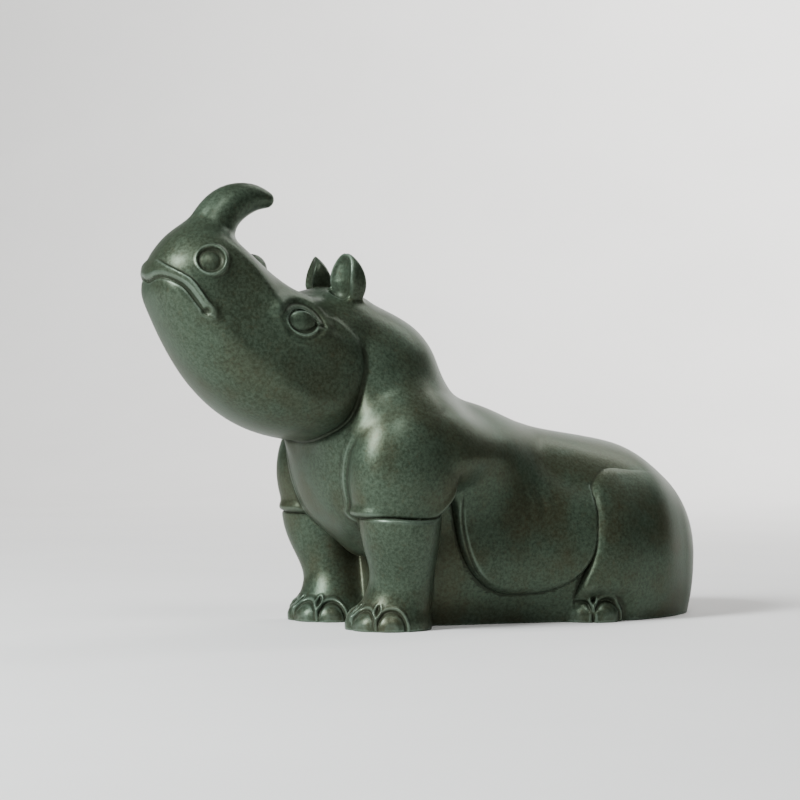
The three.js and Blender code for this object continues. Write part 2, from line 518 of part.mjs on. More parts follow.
// A round foot whose nails are domes at the given bearings, counted from straight ahead.
// Between two nails the skin closes in a teardrop.
function foot(x, w, z, skin, shape) {
  const dx = x - shape.centre[0];
  const dw = w - shape.centre[1];
  const out = Math.hypot(dx, dw);
  const pad = trim(out - shape.radius - ridge(PAD.bulge, z), z - shape.height, PAD.topFillet);
  const footed = join(skin, pad, PAD.fillet);
  if (out > shape.radius + PAD.slack || z > shape.height + PAD.slack) {
    return footed;
  }
  const bearing = THREE.MathUtils.radToDeg(Math.atan2(dw, -dx));
  const round = (from) => Math.abs(radians(bearing - from) * shape.reach);
  let relief = 0;
  for (const nail of shape.nails) {
    if (Math.abs(bearing - nail) < NAIL.widest) {
      const across = round(nail) / shape.nailHalf;
      const up = Math.max(z, 0) / shape.nailTop;
      const arch = (across ** NAIL.power + up ** NAIL.power + NEAR_NOTHING) ** (1 / NAIL.power);
      relief += NAIL.height * ramp(NAIL.dome, arch) - ridge(NAIL.groove, arch) + ridge(NAIL.cuticle, arch);
    }
  }
  for (let i = 1; i < shape.nails.length; i += 1) {
    const between = (shape.nails[i - 1] + shape.nails[i]) / 2;
    if (Math.abs(bearing - between) < TEARDROP.widest) {
      const drop = Math.hypot(round(between), (z - shape.nailTop - TEARDROP.above) * TEARDROP.long);
      relief += ridge(TEARDROP.rim, drop) - ridge(TEARDROP.hollow, drop);
    }
  }
  return footed - relief * (1 - ramp(PAD.reliefRamp, pad));
}

const tail = sweptLimb(TAIL.balls, TAIL.pieces);

// The fore quarter, the neck and the head are worked out only where they can reach.
const FRONT_REACH = 90;
const HEAD_REACH = { x: -20, z: 90 };

function skinDistance(x, y, z) {
  const w = Math.sqrt(y * y + MIDPLANE);
  const trunk = join(barrel(x, w, z), rump(x, w, z), TRUNK.rumpFillet);
  let skin = Math.min(trunk, panel(x, z, trunk), haunch(x, z, trunk));
  if (x < FRONT_REACH) {
    skin = foreQuarter(x, w, z, skin);
    const firm = 1 - ramp(NECK.firmRamp, z);
    const neck = neckAndChest(x, w, z) - ridge(NECK.collar, skin) * firm;
    skin = join(skin, neck, NECK.firmFillet + NECK.softFillet * (1 - firm));
  }
  if (x < HEAD_REACH.x && z > HEAD_REACH.z) {
    skin = head(x, w, z, skin);
  }
  skin = foot(x, w, z, skin, FORE_FOOT);
  skin = foot(x, w, z, skin, HIND_FOOT);
  return x > TAIL.from ? join(skin, tail(x, w, z), TAIL.fillet) : skin;
}

// Meshing. The skin is sampled on a grid, and whole blocks of cells far from it are passed over.
const REGION = { min: [-214, -96, -6], max: [200, 96, 278] };
const BLOCK = 4;
const NEAR_BLOCK = 1.5;
const EDGE_SHARE = [0.02, 0.98];
const CORNERS = [[0, 0, 0], [1, 0, 0], [1, 1, 0], [0, 1, 0], [0, 0, 1], [1, 0, 1], [1, 1, 1], [0, 1, 1]];
const EDGES = [
  [0, 1], [1, 2], [2, 3], [3, 0], [4, 5], [5, 6], [6, 7], [7, 4], [0, 4], [1, 5], [2, 6], [3, 7],
];

function meshSkin(distance) {
  const counts = [0, 1, 2].map((k) => BLOCK * Math.ceil((REGION.max[k] - REGION.min[k]) / GRID / BLOCK));
  const place = (k, i) => REGION.min[k] + i * GRID;
  const samples = new Map();
  const key = (i, j, k) => (k * (counts[1] + 1) + j) * (counts[0] + 1) + i;
  const sample = (i, j, k) => {
    const id = key(i, j, k);
    if (!samples.has(id)) {
      samples.set(id, distance(place(0, i), place(1, j), place(2, k)));
    }
    return samples.get(id);
  };
  const positions = [];
  const faces = [];
  const onEdge = new Map();
  const vertexOn = (a, b, valueA, valueB) => {
    const [first, second] = key(...a) < key(...b) ? [a, b] : [b, a];
    const id = key(...first) * 3 + (second[0] > first[0] ? 0 : second[1] > first[1] ? 1 : 2);
    if (!onEdge.has(id)) {
      const t = clamp(valueA / (valueA - valueB), ...EDGE_SHARE);
      onEdge.set(id, positions.length / 3);
      positions.push(...[0, 1, 2].map((k) => place(k, a[k]) * (1 - t) + place(k, b[k]) * t));
    }
    return onEdge.get(id);
  };
  const meshCell = (i, j, k) => {
    const corners = CORNERS.map(([a, b, c]) => [i + a, j + b, k + c]);
    const values = corners.map((corner) => sample(...corner));
    const pattern = values.reduce((bits, value, n) => bits | (value < 0 ? 1 << n : 0), 0);
    for (let n = pattern * 16; triTable[n] >= 0; n += 3) {
      for (const edge of [triTable[n + 2], triTable[n + 1], triTable[n]]) {
        const [a, b] = EDGES[edge];
        faces.push(vertexOn(corners[a], corners[b], values[a], values[b]));
      }
    }
  };
  const half = BLOCK / 2;
  for (let i = 0; i < counts[0]; i += BLOCK) {
    for (let j = 0; j < counts[1]; j += BLOCK) {
      for (let k = 0; k < counts[2]; k += BLOCK) {
        if (Math.abs(sample(i + half, j + half, k + half)) < BLOCK * GRID * NEAR_BLOCK) {
          for (let cell = 0; cell < BLOCK ** 3; cell += 1) {
            const across = Math.floor(cell / BLOCK) % BLOCK;
            meshCell(i + (cell % BLOCK), j + across, k + Math.floor(cell / BLOCK ** 2));
          }
        }
      }
    }
  }
  return { positions, faces };
}

// Simplification: the edge whose loss changes the surface least is closed up, again and again.
// A quadric is the sum of squared distances to the planes that have met in a vertex.
const SHARPNESS = 1e-3;
const LENGTH_COST = 1e-4;
const MOST_TURN = 0.35;
const LEAST_AREA = 1e-3;

function planeQuadric(nx, ny, nz, d, area) {
  const products = [nx * nx, nx * ny, nx * nz, nx * d, ny * ny, ny * nz, ny * d, nz * nz, nz * d, d * d];
  return products.map((q) => q * area);
}

function quadricError(q, x, y, z) {
  const linear = 2 * (q[3] * x + q[6] * y + q[8] * z) + q[9];
  const mixed = 2 * (q[1] * x * y + q[2] * x * z + q[5] * y * z);
  return q[0] * x * x + q[4] * y * y + q[7] * z * z + mixed + linear;
}

// The point that the quadric likes best, or none where its planes hardly fix one.
function quadricPoint(q) {
  const a = q[4] * q[7] - q[5] * q[5];
  const b = q[2] * q[5] - q[1] * q[7];
  const c = q[1] * q[5] - q[2] * q[4];
  const whole = q[0] * a + q[1] * b + q[2] * c;
  if (Math.abs(whole) < SHARPNESS * (q[0] + q[4] + q[7]) ** 3) {
    return null;
  }
  const e = q[0] * q[7] - q[2] * q[2];
  const f = q[1] * q[2] - q[0] * q[5];
  const g = q[0] * q[4] - q[1] * q[1];
  return [
    -(a * q[3] + b * q[6] + c * q[8]) / whole,
    -(b * q[3] + e * q[6] + f * q[8]) / whole,
    -(c * q[3] + f * q[6] + g * q[8]) / whole,
  ];
}

// A heap that gives back the entry with the least cost.
class LeastFirst {
  entries = [];

  push(entry) {
    const heap = this.entries;
    let i = heap.push(entry) - 1;
    while (i > 0) {
      const parent = (i - 1) >> 1;
      if (heap[parent].cost <= heap[i].cost) {
        break;
      }
      [heap[parent], heap[i]] = [heap[i], heap[parent]];
      i = parent;
    }
  }

  pop() {
    const heap = this.entries;
    const first = heap[0];
    const last = heap.pop();
    if (heap.length > 0) {
      heap[0] = last;
      let i = 0;
      for (;;) {
        const left = 2 * i + 1;
        let least = i;
        for (const child of [left, left + 1]) {
          if (child < heap.length && heap[child].cost < heap[least].cost) {
            least = child;
          }
        }
        if (least === i) {
          break;
        }
        [heap[least], heap[i]] = [heap[i], heap[least]];
        i = least;
      }
    }
    return first;
  }
}

class Simplifier {
  constructor({ positions, faces }) {
    this.points = [];
    for (let v = 0; v < positions.length; v += 3) {
      this.points.push(positions.slice(v, v + 3));
    }
    this.faces = [];
    this.around = this.points.map(() => new Set());
    this.quadrics = this.points.map(() => new Array(10).fill(0));
    this.stamps = new Array(this.points.length).fill(0);
    for (let f = 0; f < faces.length; f += 3) {
      const face = faces.slice(f, f + 3);
      face.forEach((v) => this.around[v].add(this.faces.length));
      this.faces.push(face);
      const { normal, area } = this.plane(face.map((v) => this.points[v]));
      const [px, py, pz] = this.points[face[0]];
      const offset = -(normal[0] * px + normal[1] * py + normal[2] * pz);
      const quadric = planeQuadric(...normal, offset, area);
      face.forEach((v) => this.addQuadric(this.quadrics[v], quadric));
    }
    this.count = this.faces.length;
    this.heap = new LeastFirst();
    for (const [a, b, c] of this.faces) {
      [[a, b], [b, c], [c, a]].filter(([v, u]) => v < u).forEach(([v, u]) => this.offer(v, u));
    }
  }

  addQuadric(sum, quadric) {
    quadric.forEach((q, i) => {
      sum[i] += q;
    });
  }

  plane([p, q, r]) {
    const [ax, ay, az] = [q[0] - p[0], q[1] - p[1], q[2] - p[2]];
    const [bx, by, bz] = [r[0] - p[0], r[1] - p[1], r[2] - p[2]];
    const normal = [ay * bz - az * by, az * bx - ax * bz, ax * by - ay * bx];
    const size = Math.hypot(...normal) || 1e-12;
    return { normal: normal.map((n) => n / size), area: size / 2 };
  }

  neighbours(v) {
    return new Set([...this.around[v]].flatMap((f) => this.faces[f]).filter((u) => u !== v));
  }

  // Puts an edge on the heap with the best place for the vertex that would replace it.
  offer(a, b) {
    const quadric = this.quadrics[a].map((q, i) => q + this.quadrics[b][i]);
    const [p, q] = [this.points[a], this.points[b]];
    const middle = p.map((value, k) => (value + q[k]) / 2);
    const length = Math.hypot(p[0] - q[0], p[1] - q[1], p[2] - q[2]);
    const best = quadricPoint(quadric);
    const near = best && Math.hypot(best[0] - middle[0], best[1] - middle[1], best[2] - middle[2]) < length;
    const places = near ? [best] : [p, q, middle];
    const costs = places.map((place) => quadricError(quadric, ...place) + LENGTH_COST * length ** 2);
    const least = costs.indexOf(Math.min(...costs));
    const stamp = this.stamps[a] + this.stamps[b];
    this.heap.push({ cost: costs[least], a, b, place: places[least], quadric, stamp });
  }

  // Closing an edge is safe where its ends share just two neighbours and no face turns over.
  isSafe({ a, b, place }) {
    const [nearA, nearB] = [this.neighbours(a), this.neighbours(b)];
    if ([...nearA].filter((v) => nearB.has(v)).length !== 2) {
      return false;
    }
    for (const [v, other] of [[a, b], [b, a]]) {
      for (const f of this.around[v]) {
        const face = this.faces[f];
        if (!face.includes(other)) {
          const before = this.plane(face.map((u) => this.points[u]));
          const after = this.plane(face.map((u) => (u === v ? place : this.points[u])));
          const turned = before.normal.reduce((sum, n, k) => sum + n * after.normal[k], 0);
          if (turned < MOST_TURN || after.area < LEAST_AREA) {
            return false;
          }
        }
      }
    }
    return true;
  }

  close({ a, b, place, quadric }) {
    this.points[a] = place;
    this.quadrics[a] = quadric;
    for (const f of this.around[b]) {
      if (this.faces[f].includes(a)) {
        this.faces[f].forEach((v) => this.around[v].delete(f));
        this.faces[f] = null;
        this.count -= 1;
      } else {
        this.faces[f] = this.faces[f].map((v) => (v === b ? a : v));
        this.around[a].add(f);
      }
    }
    this.around[b].clear();
    this.stamps[a] += 1;
    this.stamps[b] = -Infinity;
    this.neighbours(a).forEach((v) => this.offer(a, v));
  }

  run(target) {
    while (this.count > target && this.heap.entries.length > 0) {
      const entry = this.heap.pop();
      if (entry.stamp === this.stamps[entry.a] + this.stamps[entry.b] && this.isSafe(entry)) {
        this.close(entry);
      }
    }
    return { positions: this.points.flat(), faces: this.faces.filter((face) => face).flat() };
  }
}

// The base is cut flat, so that the figure stands on one plane.
function toSolid(wasm, geometry) {
  const bare = geometry.clone();
  bare.deleteAttribute("normal");
  bare.deleteAttribute("uv");
  const merged = mergeVertices(bare, 1e-4);
  const vertProperties = new Float32Array(merged.attributes.position.array);
  const triVerts = new Uint32Array(merged.index.array);
  return new wasm.Manifold(new wasm.Mesh({ numProp: 3, vertProperties, triVerts }));
}

function toGeometry({ vertProperties, triVerts }) {
  const geometry = new THREE.BufferGeometry();
  geometry.setAttribute("position", new THREE.BufferAttribute(new Float32Array(vertProperties), 3));
  geometry.setIndex([...triVerts]);
  return geometry;
}

const wasm = await Module();
wasm.setup();

function castFigure() {
  const grown = meshSkin((x, y, z) => Math.max(skinDistance(x, y, z), -z - BASE_SPARE));
  const { positions, faces } = new Simplifier(grown).run(FACES);
  const rough = toGeometry({ vertProperties: positions, triVerts: faces });
  const ground = new THREE.BoxGeometry(GROUND.length, GROUND.width, GROUND.depth);
  ground.translate(0, 0, -GROUND.depth / 2);
  const standing = toSolid(wasm, rough).subtract(toSolid(wasm, ground));
  const geometry = toGeometry(standing.getMesh());
  geometry.computeBoundingBox();
  const middle = geometry.boundingBox.getCenter(new THREE.Vector3());
  geometry.translate(-middle.x, -middle.y, 0);
  geometry.computeVertexNormals();
  return geometry;
}

// The green patina on the bronze.
const patina = new THREE.MeshStandardMaterial({ color: 0x2f4238, roughness: 0.42, metalness: 0.55 });
const rhinoceros = new THREE.Mesh(castFigure(), patina);
rhinoceros.name = "rhinoceros";

const group = new THREE.Group();
group.add(rhinoceros);

export default group;
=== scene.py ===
"""Looks of the rhinoceros figurine: one bronze casting with its patina, in a plain pale studio.

The casting's form is a distance field in millimetres, head towards -X, in the figure's own frame:
y = 0 is its plane of symmetry and z = 0 the plane that it stands on. The field is turned into one
closed mesh, which is set on the CAD box, dressed and shown for the node "rhinoceros".
"""

import logging
import math
from concurrent.futures import ThreadPoolExecutor
from dataclasses import dataclass, field
from enum import Enum

import bpy
import numpy as np
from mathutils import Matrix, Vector


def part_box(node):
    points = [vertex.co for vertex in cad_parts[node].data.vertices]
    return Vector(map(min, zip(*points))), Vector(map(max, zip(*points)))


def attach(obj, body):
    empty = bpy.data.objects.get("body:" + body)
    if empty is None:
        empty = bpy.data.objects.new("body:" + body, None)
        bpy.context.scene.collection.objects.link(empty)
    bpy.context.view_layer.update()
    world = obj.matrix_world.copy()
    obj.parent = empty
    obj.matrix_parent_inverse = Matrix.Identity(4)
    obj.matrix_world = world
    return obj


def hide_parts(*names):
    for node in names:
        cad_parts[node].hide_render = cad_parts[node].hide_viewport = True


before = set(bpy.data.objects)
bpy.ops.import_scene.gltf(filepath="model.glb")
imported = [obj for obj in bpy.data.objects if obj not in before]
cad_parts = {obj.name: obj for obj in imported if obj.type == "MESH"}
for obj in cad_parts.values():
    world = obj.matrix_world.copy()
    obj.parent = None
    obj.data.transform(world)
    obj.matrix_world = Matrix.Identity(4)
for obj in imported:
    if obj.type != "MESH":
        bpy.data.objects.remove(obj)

Array = np.ndarray
Ball = tuple[float, float, float, float]
log = logging.getLogger("figurine")
METRE = 0.001
NODE = "rhinoceros"
BODY = "root"


def ramp(start: float, end: float, t: Array) -> Array:
    s = np.clip((t - start) / (end - start), 0.0, 1.0)
    return s * s * (3.0 - 2.0 * s)


def bell(t: Array, width: float) -> Array:
    return np.exp(-np.square(t / width))


def join(a: Array, b: Array, fillet: float) -> Array:
    h = np.maximum(fillet - np.abs(a - b), 0.0) / fillet
    return np.minimum(a, b) - h * h * (fillet / 4.0)


def trim(a: Array, b: Array, fillet: float) -> Array:
    return -join(-a, -b, fillet)


class Curve:
    def __init__(self, points):
        knots = np.array(points, dtype=float)
        self.t = knots[:, 0]
        self.value = knots[:, 1]
        step = np.diff(self.t)
        slope = np.diff(self.value) / step
        count = len(knots)
        system = np.eye(count)
        load = np.zeros(count)
        for i in range(1, count - 1):
            system[i, i - 1:i + 2] = [step[i - 1], 2.0 * (step[i - 1] + step[i]), step[i]]
            load[i] = 6.0 * (slope[i] - slope[i - 1])
        bend = np.linalg.solve(system, load)
        self.parts = np.stack([
            self.value[:-1],
            slope - step * (2.0 * bend[:-1] + bend[1:]) / 6.0,
            bend[:-1] / 2.0,
            np.diff(bend) / (6.0 * step),
        ]).astype(np.float32)

    def __call__(self, at: Array) -> Array:
        t = np.clip(at, self.t[0], self.t[-1])
        i = np.clip(np.searchsorted(self.t, t, side="right") - 1, 0, len(self.t) - 2)
        d = (t - self.t.astype(np.float32)[i]).astype(np.float32)
        a, b, c, e = self.parts
        return a[i] + d * (b[i] + d * (c[i] + d * e[i]))


class Outline:
    def __init__(self, centre, points):
        polar = sorted((math.atan2(v - centre[1], u - centre[0]), math.hypot(u - centre[0], v - centre[1])) for u, v in points)
        before = [(angle - 2.0 * math.pi, r) for angle, r in polar[-3:]]
        after = [(angle + 2.0 * math.pi, r) for angle, r in polar[:3]]
        self.centre = centre
        self.radius = Curve(before + polar + after)

    def __call__(self, u: Array, v: Array) -> Array:
        du, dv = u - self.centre[0], v - self.centre[1]
        return np.hypot(du, dv) - self.radius(np.arctan2(dv, du))


def ellipsoid(x, w, z, centre, radii) -> Array:
    dx, dw, dz = (x - centre[0]) / radii[0], (w - centre[1]) / radii[1], (z - centre[2]) / radii[2]
    scaled = np.sqrt(dx * dx + dw * dw + dz * dz)
    steep = np.sqrt(np.square(dx / radii[0]) + np.square(dw / radii[1]) + np.square(dz / radii[2]))
    return scaled * (scaled - 1.0) / np.maximum(steep, 1e-6)


def swollen_box(dx, dw, dz, radii, power) -> Array:
    scaled = (np.abs(dx / radii[0]) ** power + np.abs(dw / radii[1]) ** power + np.abs(dz / radii[2]) ** power + 1e-9) ** (1.0 / power)
    reach = np.sqrt(dx * dx + dw * dw + dz * dz)
    return np.maximum(reach - reach / np.maximum(scaled, 0.005), -50.0)


def bar(x, w, z, a, b) -> Array:
    """A round bar that tapers from one ball (x, w, z, radius) to another."""
    vx, vw, vz = b[0] - a[0], b[1] - a[1], b[2] - a[2]
    px, pw, pz = x - a[0], w - a[1], z - a[2]
    length = math.sqrt(vx * vx + vw * vw + vz * vz)
    slant = (a[3] - b[3]) / length
    along = (px * vx + pw * vw + pz * vz) / length
    across = np.sqrt(np.maximum(px * px + pw * pw + pz * pz - along * along, 0.0))
    shifted = np.clip((along - across * slant / math.sqrt(1.0 - slant * slant)) / length, 0.0, 1.0)
    return np.hypot(across, along - shifted * length) - (a[3] + (b[3] - a[3]) * shifted)


def swept(x, w, z, balls, pieces) -> Array:
    """A round limb along a smooth spine through the balls."""
    knots = np.arange(len(balls), dtype=float)
    curves = [Curve(list(zip(knots, column))) for column in zip(*balls)]
    at = np.linspace(0.0, len(balls) - 1.0, pieces + 1)
    spine = np.stack([curve(at) for curve in curves], axis=1)
    distance = None
    for a, b in zip(spine[:-1], spine[1:]):
        piece = bar(x, w, z, [float(v) for v in a], [float(v) for v in b])
        distance = piece if distance is None else np.minimum(distance, piece)
    return distance


@dataclass(frozen=True)
class Trunk:
    top: tuple = ((-80, 152), (-40, 149.5), (0, 142.5), (26, 136.8), (48, 129), (79, 120), (110, 111), (140, 100), (175, 77))
    side: tuple = ((-60, 42), (-24, 46), (-5, 50), (30, 56.5), (72, 61), (110, 61.5), (150, 56), (180, 48))
    waist: float = 36.0
    below: float = 90.0
    power: float = 2.25
    tuck: float = 0.15
    tuck_from: float = 46.0
    front: float = -40.0
    rear: float = 140.0
    rump_centre: tuple = (107.5, 0.0, 38.0)
    rump_radii: tuple = (81.6, 63.0, 72.0)
    rump_power: float = 2.18
    rump_low: float = 0.72
    blend: float = 22.0

    def __post_init__(self):
        object.__setattr__(self, "top_curve", Curve(self.top))
        object.__setattr__(self, "side_curve", Curve(self.side))

    def skin(self, x, w, z):
        tucked = 1.0 - self.tuck * np.square(np.clip((self.tuck_from - z) / self.tuck_from, 0.0, 1.0))
        half = self.side_curve(x) * tucked
        tall = np.where(z > self.waist, np.maximum(self.top_curve(x) - self.waist, 10.0), self.below)
        scaled = (np.abs(w / half) ** self.power + np.abs((z - self.waist) / tall) ** self.power) ** (1.0 / self.power)
        reach = np.hypot(w, z - self.waist)
        barrel = np.maximum(reach - reach / np.maximum(scaled, 0.005), -50.0) * 0.9
        front = self.front - x - 0.3 * np.maximum(z - 55.0, 0.0)
        barrel = trim(trim(barrel, front, 32.0), x - self.rear, 20.0)
        cx, _, cz = self.rump_centre
        dz = (z - cz) * np.where(z < cz, self.rump_low, 1.0)
        rump = swollen_box(x - cx, w, dz, self.rump_radii, self.rump_power)
        return join(barrel, rump, self.blend)


@dataclass(frozen=True)
class Flank:
    """The belly panel and the haunch, which stand proud of the trunk."""
    panel_x: float = 28.0
    panel_z: float = 74.0
    panel_front: float = 41.7
    panel_rear: float = 53.0
    panel_rz: float = 55.2
    front_power: float = 2.3
    rear_power: float = 2.6
    panel_swell: float = 5.5
    front_swell: float = 2.0
    bead: float = 2.6
    haunch_left: tuple = ((8, 63), (26, 69), (36, 73), (46, 75.8), (56, 77), (73, 78), (90, 79.5), (120, 80))
    haunch_top: float = 99.0
    haunch_corner: float = 25.0
    haunch_swell: float = 6.2

    def __post_init__(self):
        object.__setattr__(self, "haunch_curve", Curve(self.haunch_left))

    def skin(self, x, w, z, trunk):
        ahead = x < self.panel_x
        across = np.abs(x - self.panel_x) / np.where(ahead, self.panel_front, self.panel_rear)
        down = np.maximum(self.panel_z - z, 0.0) / self.panel_rz
        power = np.where(ahead, self.front_power, self.rear_power)
        rim = ((across ** power + down ** power + 1e-5) ** (1.0 / power) - 1.0) * self.panel_rz
        fade = 1.0 - ramp(70.0, 114.0 - 26.0 * ramp(30.0, 75.0, x), z)
        swell = (self.panel_swell + self.front_swell * ramp(20.0, -20.0, x)) * fade
        leftward = ramp(16.0, -6.0, x) * (1.0 - ramp(74.0, 86.0, z))
        groove = 1.0 * bell(rim + self.bead - 1.4 * ramp(60.0, 30.0, z), 1.2) * leftward
        bow = x - 38.5 + 0.012 * np.square(z - 72.0)
        ribs = 0.36 * np.cos(bow * (2.0 * math.pi / 10.0)) * bell(bow, 12.0) * bell(z - 77.0, 15.0)
        soft = np.clip(swell, 0.05, 5.0)
        raised = trunk - swell + groove - ribs
        h = np.maximum(soft - np.abs(raised - rim), 0.0) / soft
        panel = np.maximum(raised, rim) + h * h * soft * 0.25
        right = self.haunch_curve(z) - x + self.haunch_corner
        above = z - self.haunch_top + self.haunch_corner
        edge = np.hypot(np.maximum(right, 0.0), np.maximum(above, 0.0)) + np.minimum(np.maximum(right, above), 0.0) - self.haunch_corner
        over_foot = 1.0 - ramp(24.0, 8.0, z) * ramp(112.0, 92.0, x)
        swell = self.haunch_swell * (1.0 - ramp(52.0, 106.0, z)) * (1.0 - ramp(88.0, 150.0, x)) + 1.2 * (1.0 - ramp(88.0, 118.0, x))
        swell = swell * over_foot
        haunch = trim(trunk - swell, edge, 7.0)
        return np.minimum(np.minimum(trunk, panel), haunch)


@dataclass(frozen=True)
class ForeQuarter:
    ball_centre: tuple = (-42.0, 43.5, 95.0)
    ball_radii: tuple = (43.2, 32.0, 50.0)
    ball_rear: float = 40.0
    turn: float = 14.0
    blade_centre: tuple = (-8.0, 26.0, 103.0)
    blade_radii: tuple = (47.0, 36.0, 25.0)
    hem: tuple = ((-110, 69), (-88, 68.8), (-60, 66.8), (-48, 66.4), (-40, 68.1), (-34, 72.3), (-29, 77.3), (-24, 82), (-18, 84), (-6, 85), (12, 86))
    leg_x: tuple = ((4, -54), (14, -51), (26, -48.4), (36, -49.4), (46, -51.4), (57, -53), (80, -54))
    leg_w: tuple = ((4, 38.6), (14, 40.2), (26, 42.5), (36, 46.2), (46, 49), (57, 50.8), (80, 52))
    leg_r: tuple = ((4, 24), (14, 22.2), (26, 20.2), (36, 20.2), (46, 22), (57, 24.1), (80, 25.4))

    def __post_init__(self):
        object.__setattr__(self, "hem_curve", Curve(self.hem))
        object.__setattr__(self, "axis_x", Curve(self.leg_x))
        object.__setattr__(self, "axis_w", Curve(self.leg_w))
        object.__setattr__(self, "radius", Curve(self.leg_r))

    def skin(self, x, w, z, body):
        hem = self.hem_curve(x)
        turn = math.radians(self.turn)
        dx, dw = x - self.ball_centre[0], w - self.ball_centre[1]
        ahead = math.sin(turn) * dw - math.cos(turn) * dx
        aside = math.sin(turn) * dx + math.cos(turn) * dw
        ahead = np.where(ahead < 0.0, ahead * self.ball_radii[0] / self.ball_rear, ahead)
        ball = ellipsoid(ahead, aside, z, (0.0, 0.0, self.ball_centre[2]), self.ball_radii) * 0.9
        flare = (1.0 + 1.8 * ramp(-66.0, -82.0, x)) * bell(z - hem - 2.2, 4.2)
        soft = 3.0 + 14.0 * ramp(-29.0, -20.0, x)
        h = np.maximum(soft - np.abs(ball - flare - hem + z), 0.0) / soft
        shoulder = np.maximum(ball - flare, hem - z) + h * h * soft * 0.25
        blade = ellipsoid(x, w, z, self.blade_centre, self.blade_radii)
        covered = join(body, blade, 24.0)
        leg = (np.hypot(x - self.axis_x(z), w - self.axis_w(z)) - self.radius(z)) * 0.95
        leg = trim(leg, z - hem - 1.0, 3.0)
        wide = 1.5 + 7.0 * ramp(56.0, 40.0, z)
        h = np.maximum(wide - np.abs(body - leg), 0.0) / wide
        trunk_and_leg = np.minimum(body, leg) - h * h * wide * 0.25
        spread = 6.0 + 20.0 * np.maximum(ramp(106.0, 142.0, z), ramp(-66.0, -14.0, x) * ramp(82.0, 106.0, z))
        h = np.maximum(spread - np.abs(covered - shoulder), 0.0) / spread
        return np.minimum(np.minimum(covered, shoulder) - h * h * spread * 0.25, trunk_and_leg)


@dataclass(frozen=True)
class Neck:
    poll: tuple = (-71.5, 0.0, 167.5, 39.4)
    crest: tuple = (-51.0, 0.0, 148.0, 46.2)
    root: tuple = (-40.0, 0.0, 118.0, 48.0)
    chest_centre: tuple = (-50.0, 0.0, 96.0)
    chest_front: tuple = ((40, 3), (48, 11), (56, 19.5), (64, 27), (74, 33.5), (86, 38), (100, 40.5), (116, 41.8), (130, 42))
    chest_power: float = 2.9
    chest_half: tuple = ((38, 9), (50, 18.5), (58, 26.5), (65, 35.5), (78, 42.5), (90, 47), (104, 50.5), (130, 50.5))
    chest_top: float = 128.0

    def __post_init__(self):
        object.__setattr__(self, "half_curve", Curve(self.chest_half))
        object.__setattr__(self, "front_curve", Curve(self.chest_front))

    def skin(self, x, w, z):
        neck = join(bar(x, w, z, self.poll, self.crest), bar(x, w, z, self.crest, self.root), 8.0)
        dx = x - self.chest_centre[0]
        scaled = (np.abs(dx / self.front_curve(z)) ** self.chest_power + (w / self.half_curve(z)) ** self.chest_power) ** (1.0 / self.chest_power)
        reach = np.hypot(dx, w)
        chest = (reach - reach / np.maximum(scaled, 0.005)) * 0.8
        chest = trim(trim(chest, z - self.chest_top, 20.0), 42.0 - z, 5.0)
        return join(neck, chest, 14.0)


@dataclass(frozen=True)
class Mouth:
    level: float = 54.0
    corner: float = 254.0
    droop: float = 6.2
    beak: float = 3.5
    pit: tuple = (-175.5, 35.0, 191.5)
    pit_radius: float = 2.3

    def relief(self, forward, crown, w):
        middle = bell(w, 15.0)
        seam = self.level - self.droop * ramp(276.0, 252.0, forward) - self.beak * bell(w, 11.0)
        up = crown - seam
        away = np.where(forward > self.corner, np.abs(up), np.hypot(forward - self.corner, up))
        upper = np.where(up > 0.0, 1.0, (1.0 - ramp(248.0, 256.0, forward)) * (1.0 - bell(w, 22.0)) * ramp(-9.0, 0.0, up))
        thick = 4.6 + 6.5 * bell(w, 12.0)
        across = away / thick
        firm = ramp(251.0, 263.0, forward)
        edged = ramp(-0.3, 0.95, across) * (1.0 - ramp(0.98, 1.22, across))
        side = firm * edged + (1.0 - firm) * 0.75 * bell(across - 0.9, 0.62)
        lip = 1.35 * side * (1.0 - middle) + 0.7 * middle * bell(across - 0.1, 0.45)
        crest = 0.3 * bell(away - thick, 0.9) * firm * (1.0 - 0.9 * middle)
        valley = 0.5 * bell(away - thick - 4.0, 3.2) * (1.0 - 0.6 * middle)
        set_back = 1.2 * np.exp(np.minimum(up, 0.0) / 6.0) * ramp(254.0, 268.0, forward) * ramp(1.5, -0.5, up)
        slit = (0.6 + 0.5 * ramp(284.0, 270.0, forward)) * bell(away, 1.1)
        under = 1.2 * bell(up + 8.0, 6.0) * bell(forward - 275.0, 12.0) * (1.0 - 0.7 * middle)
        return upper * (lip + crest) + under - set_back - valley * ramp(-4.0, 6.0, up) - slit


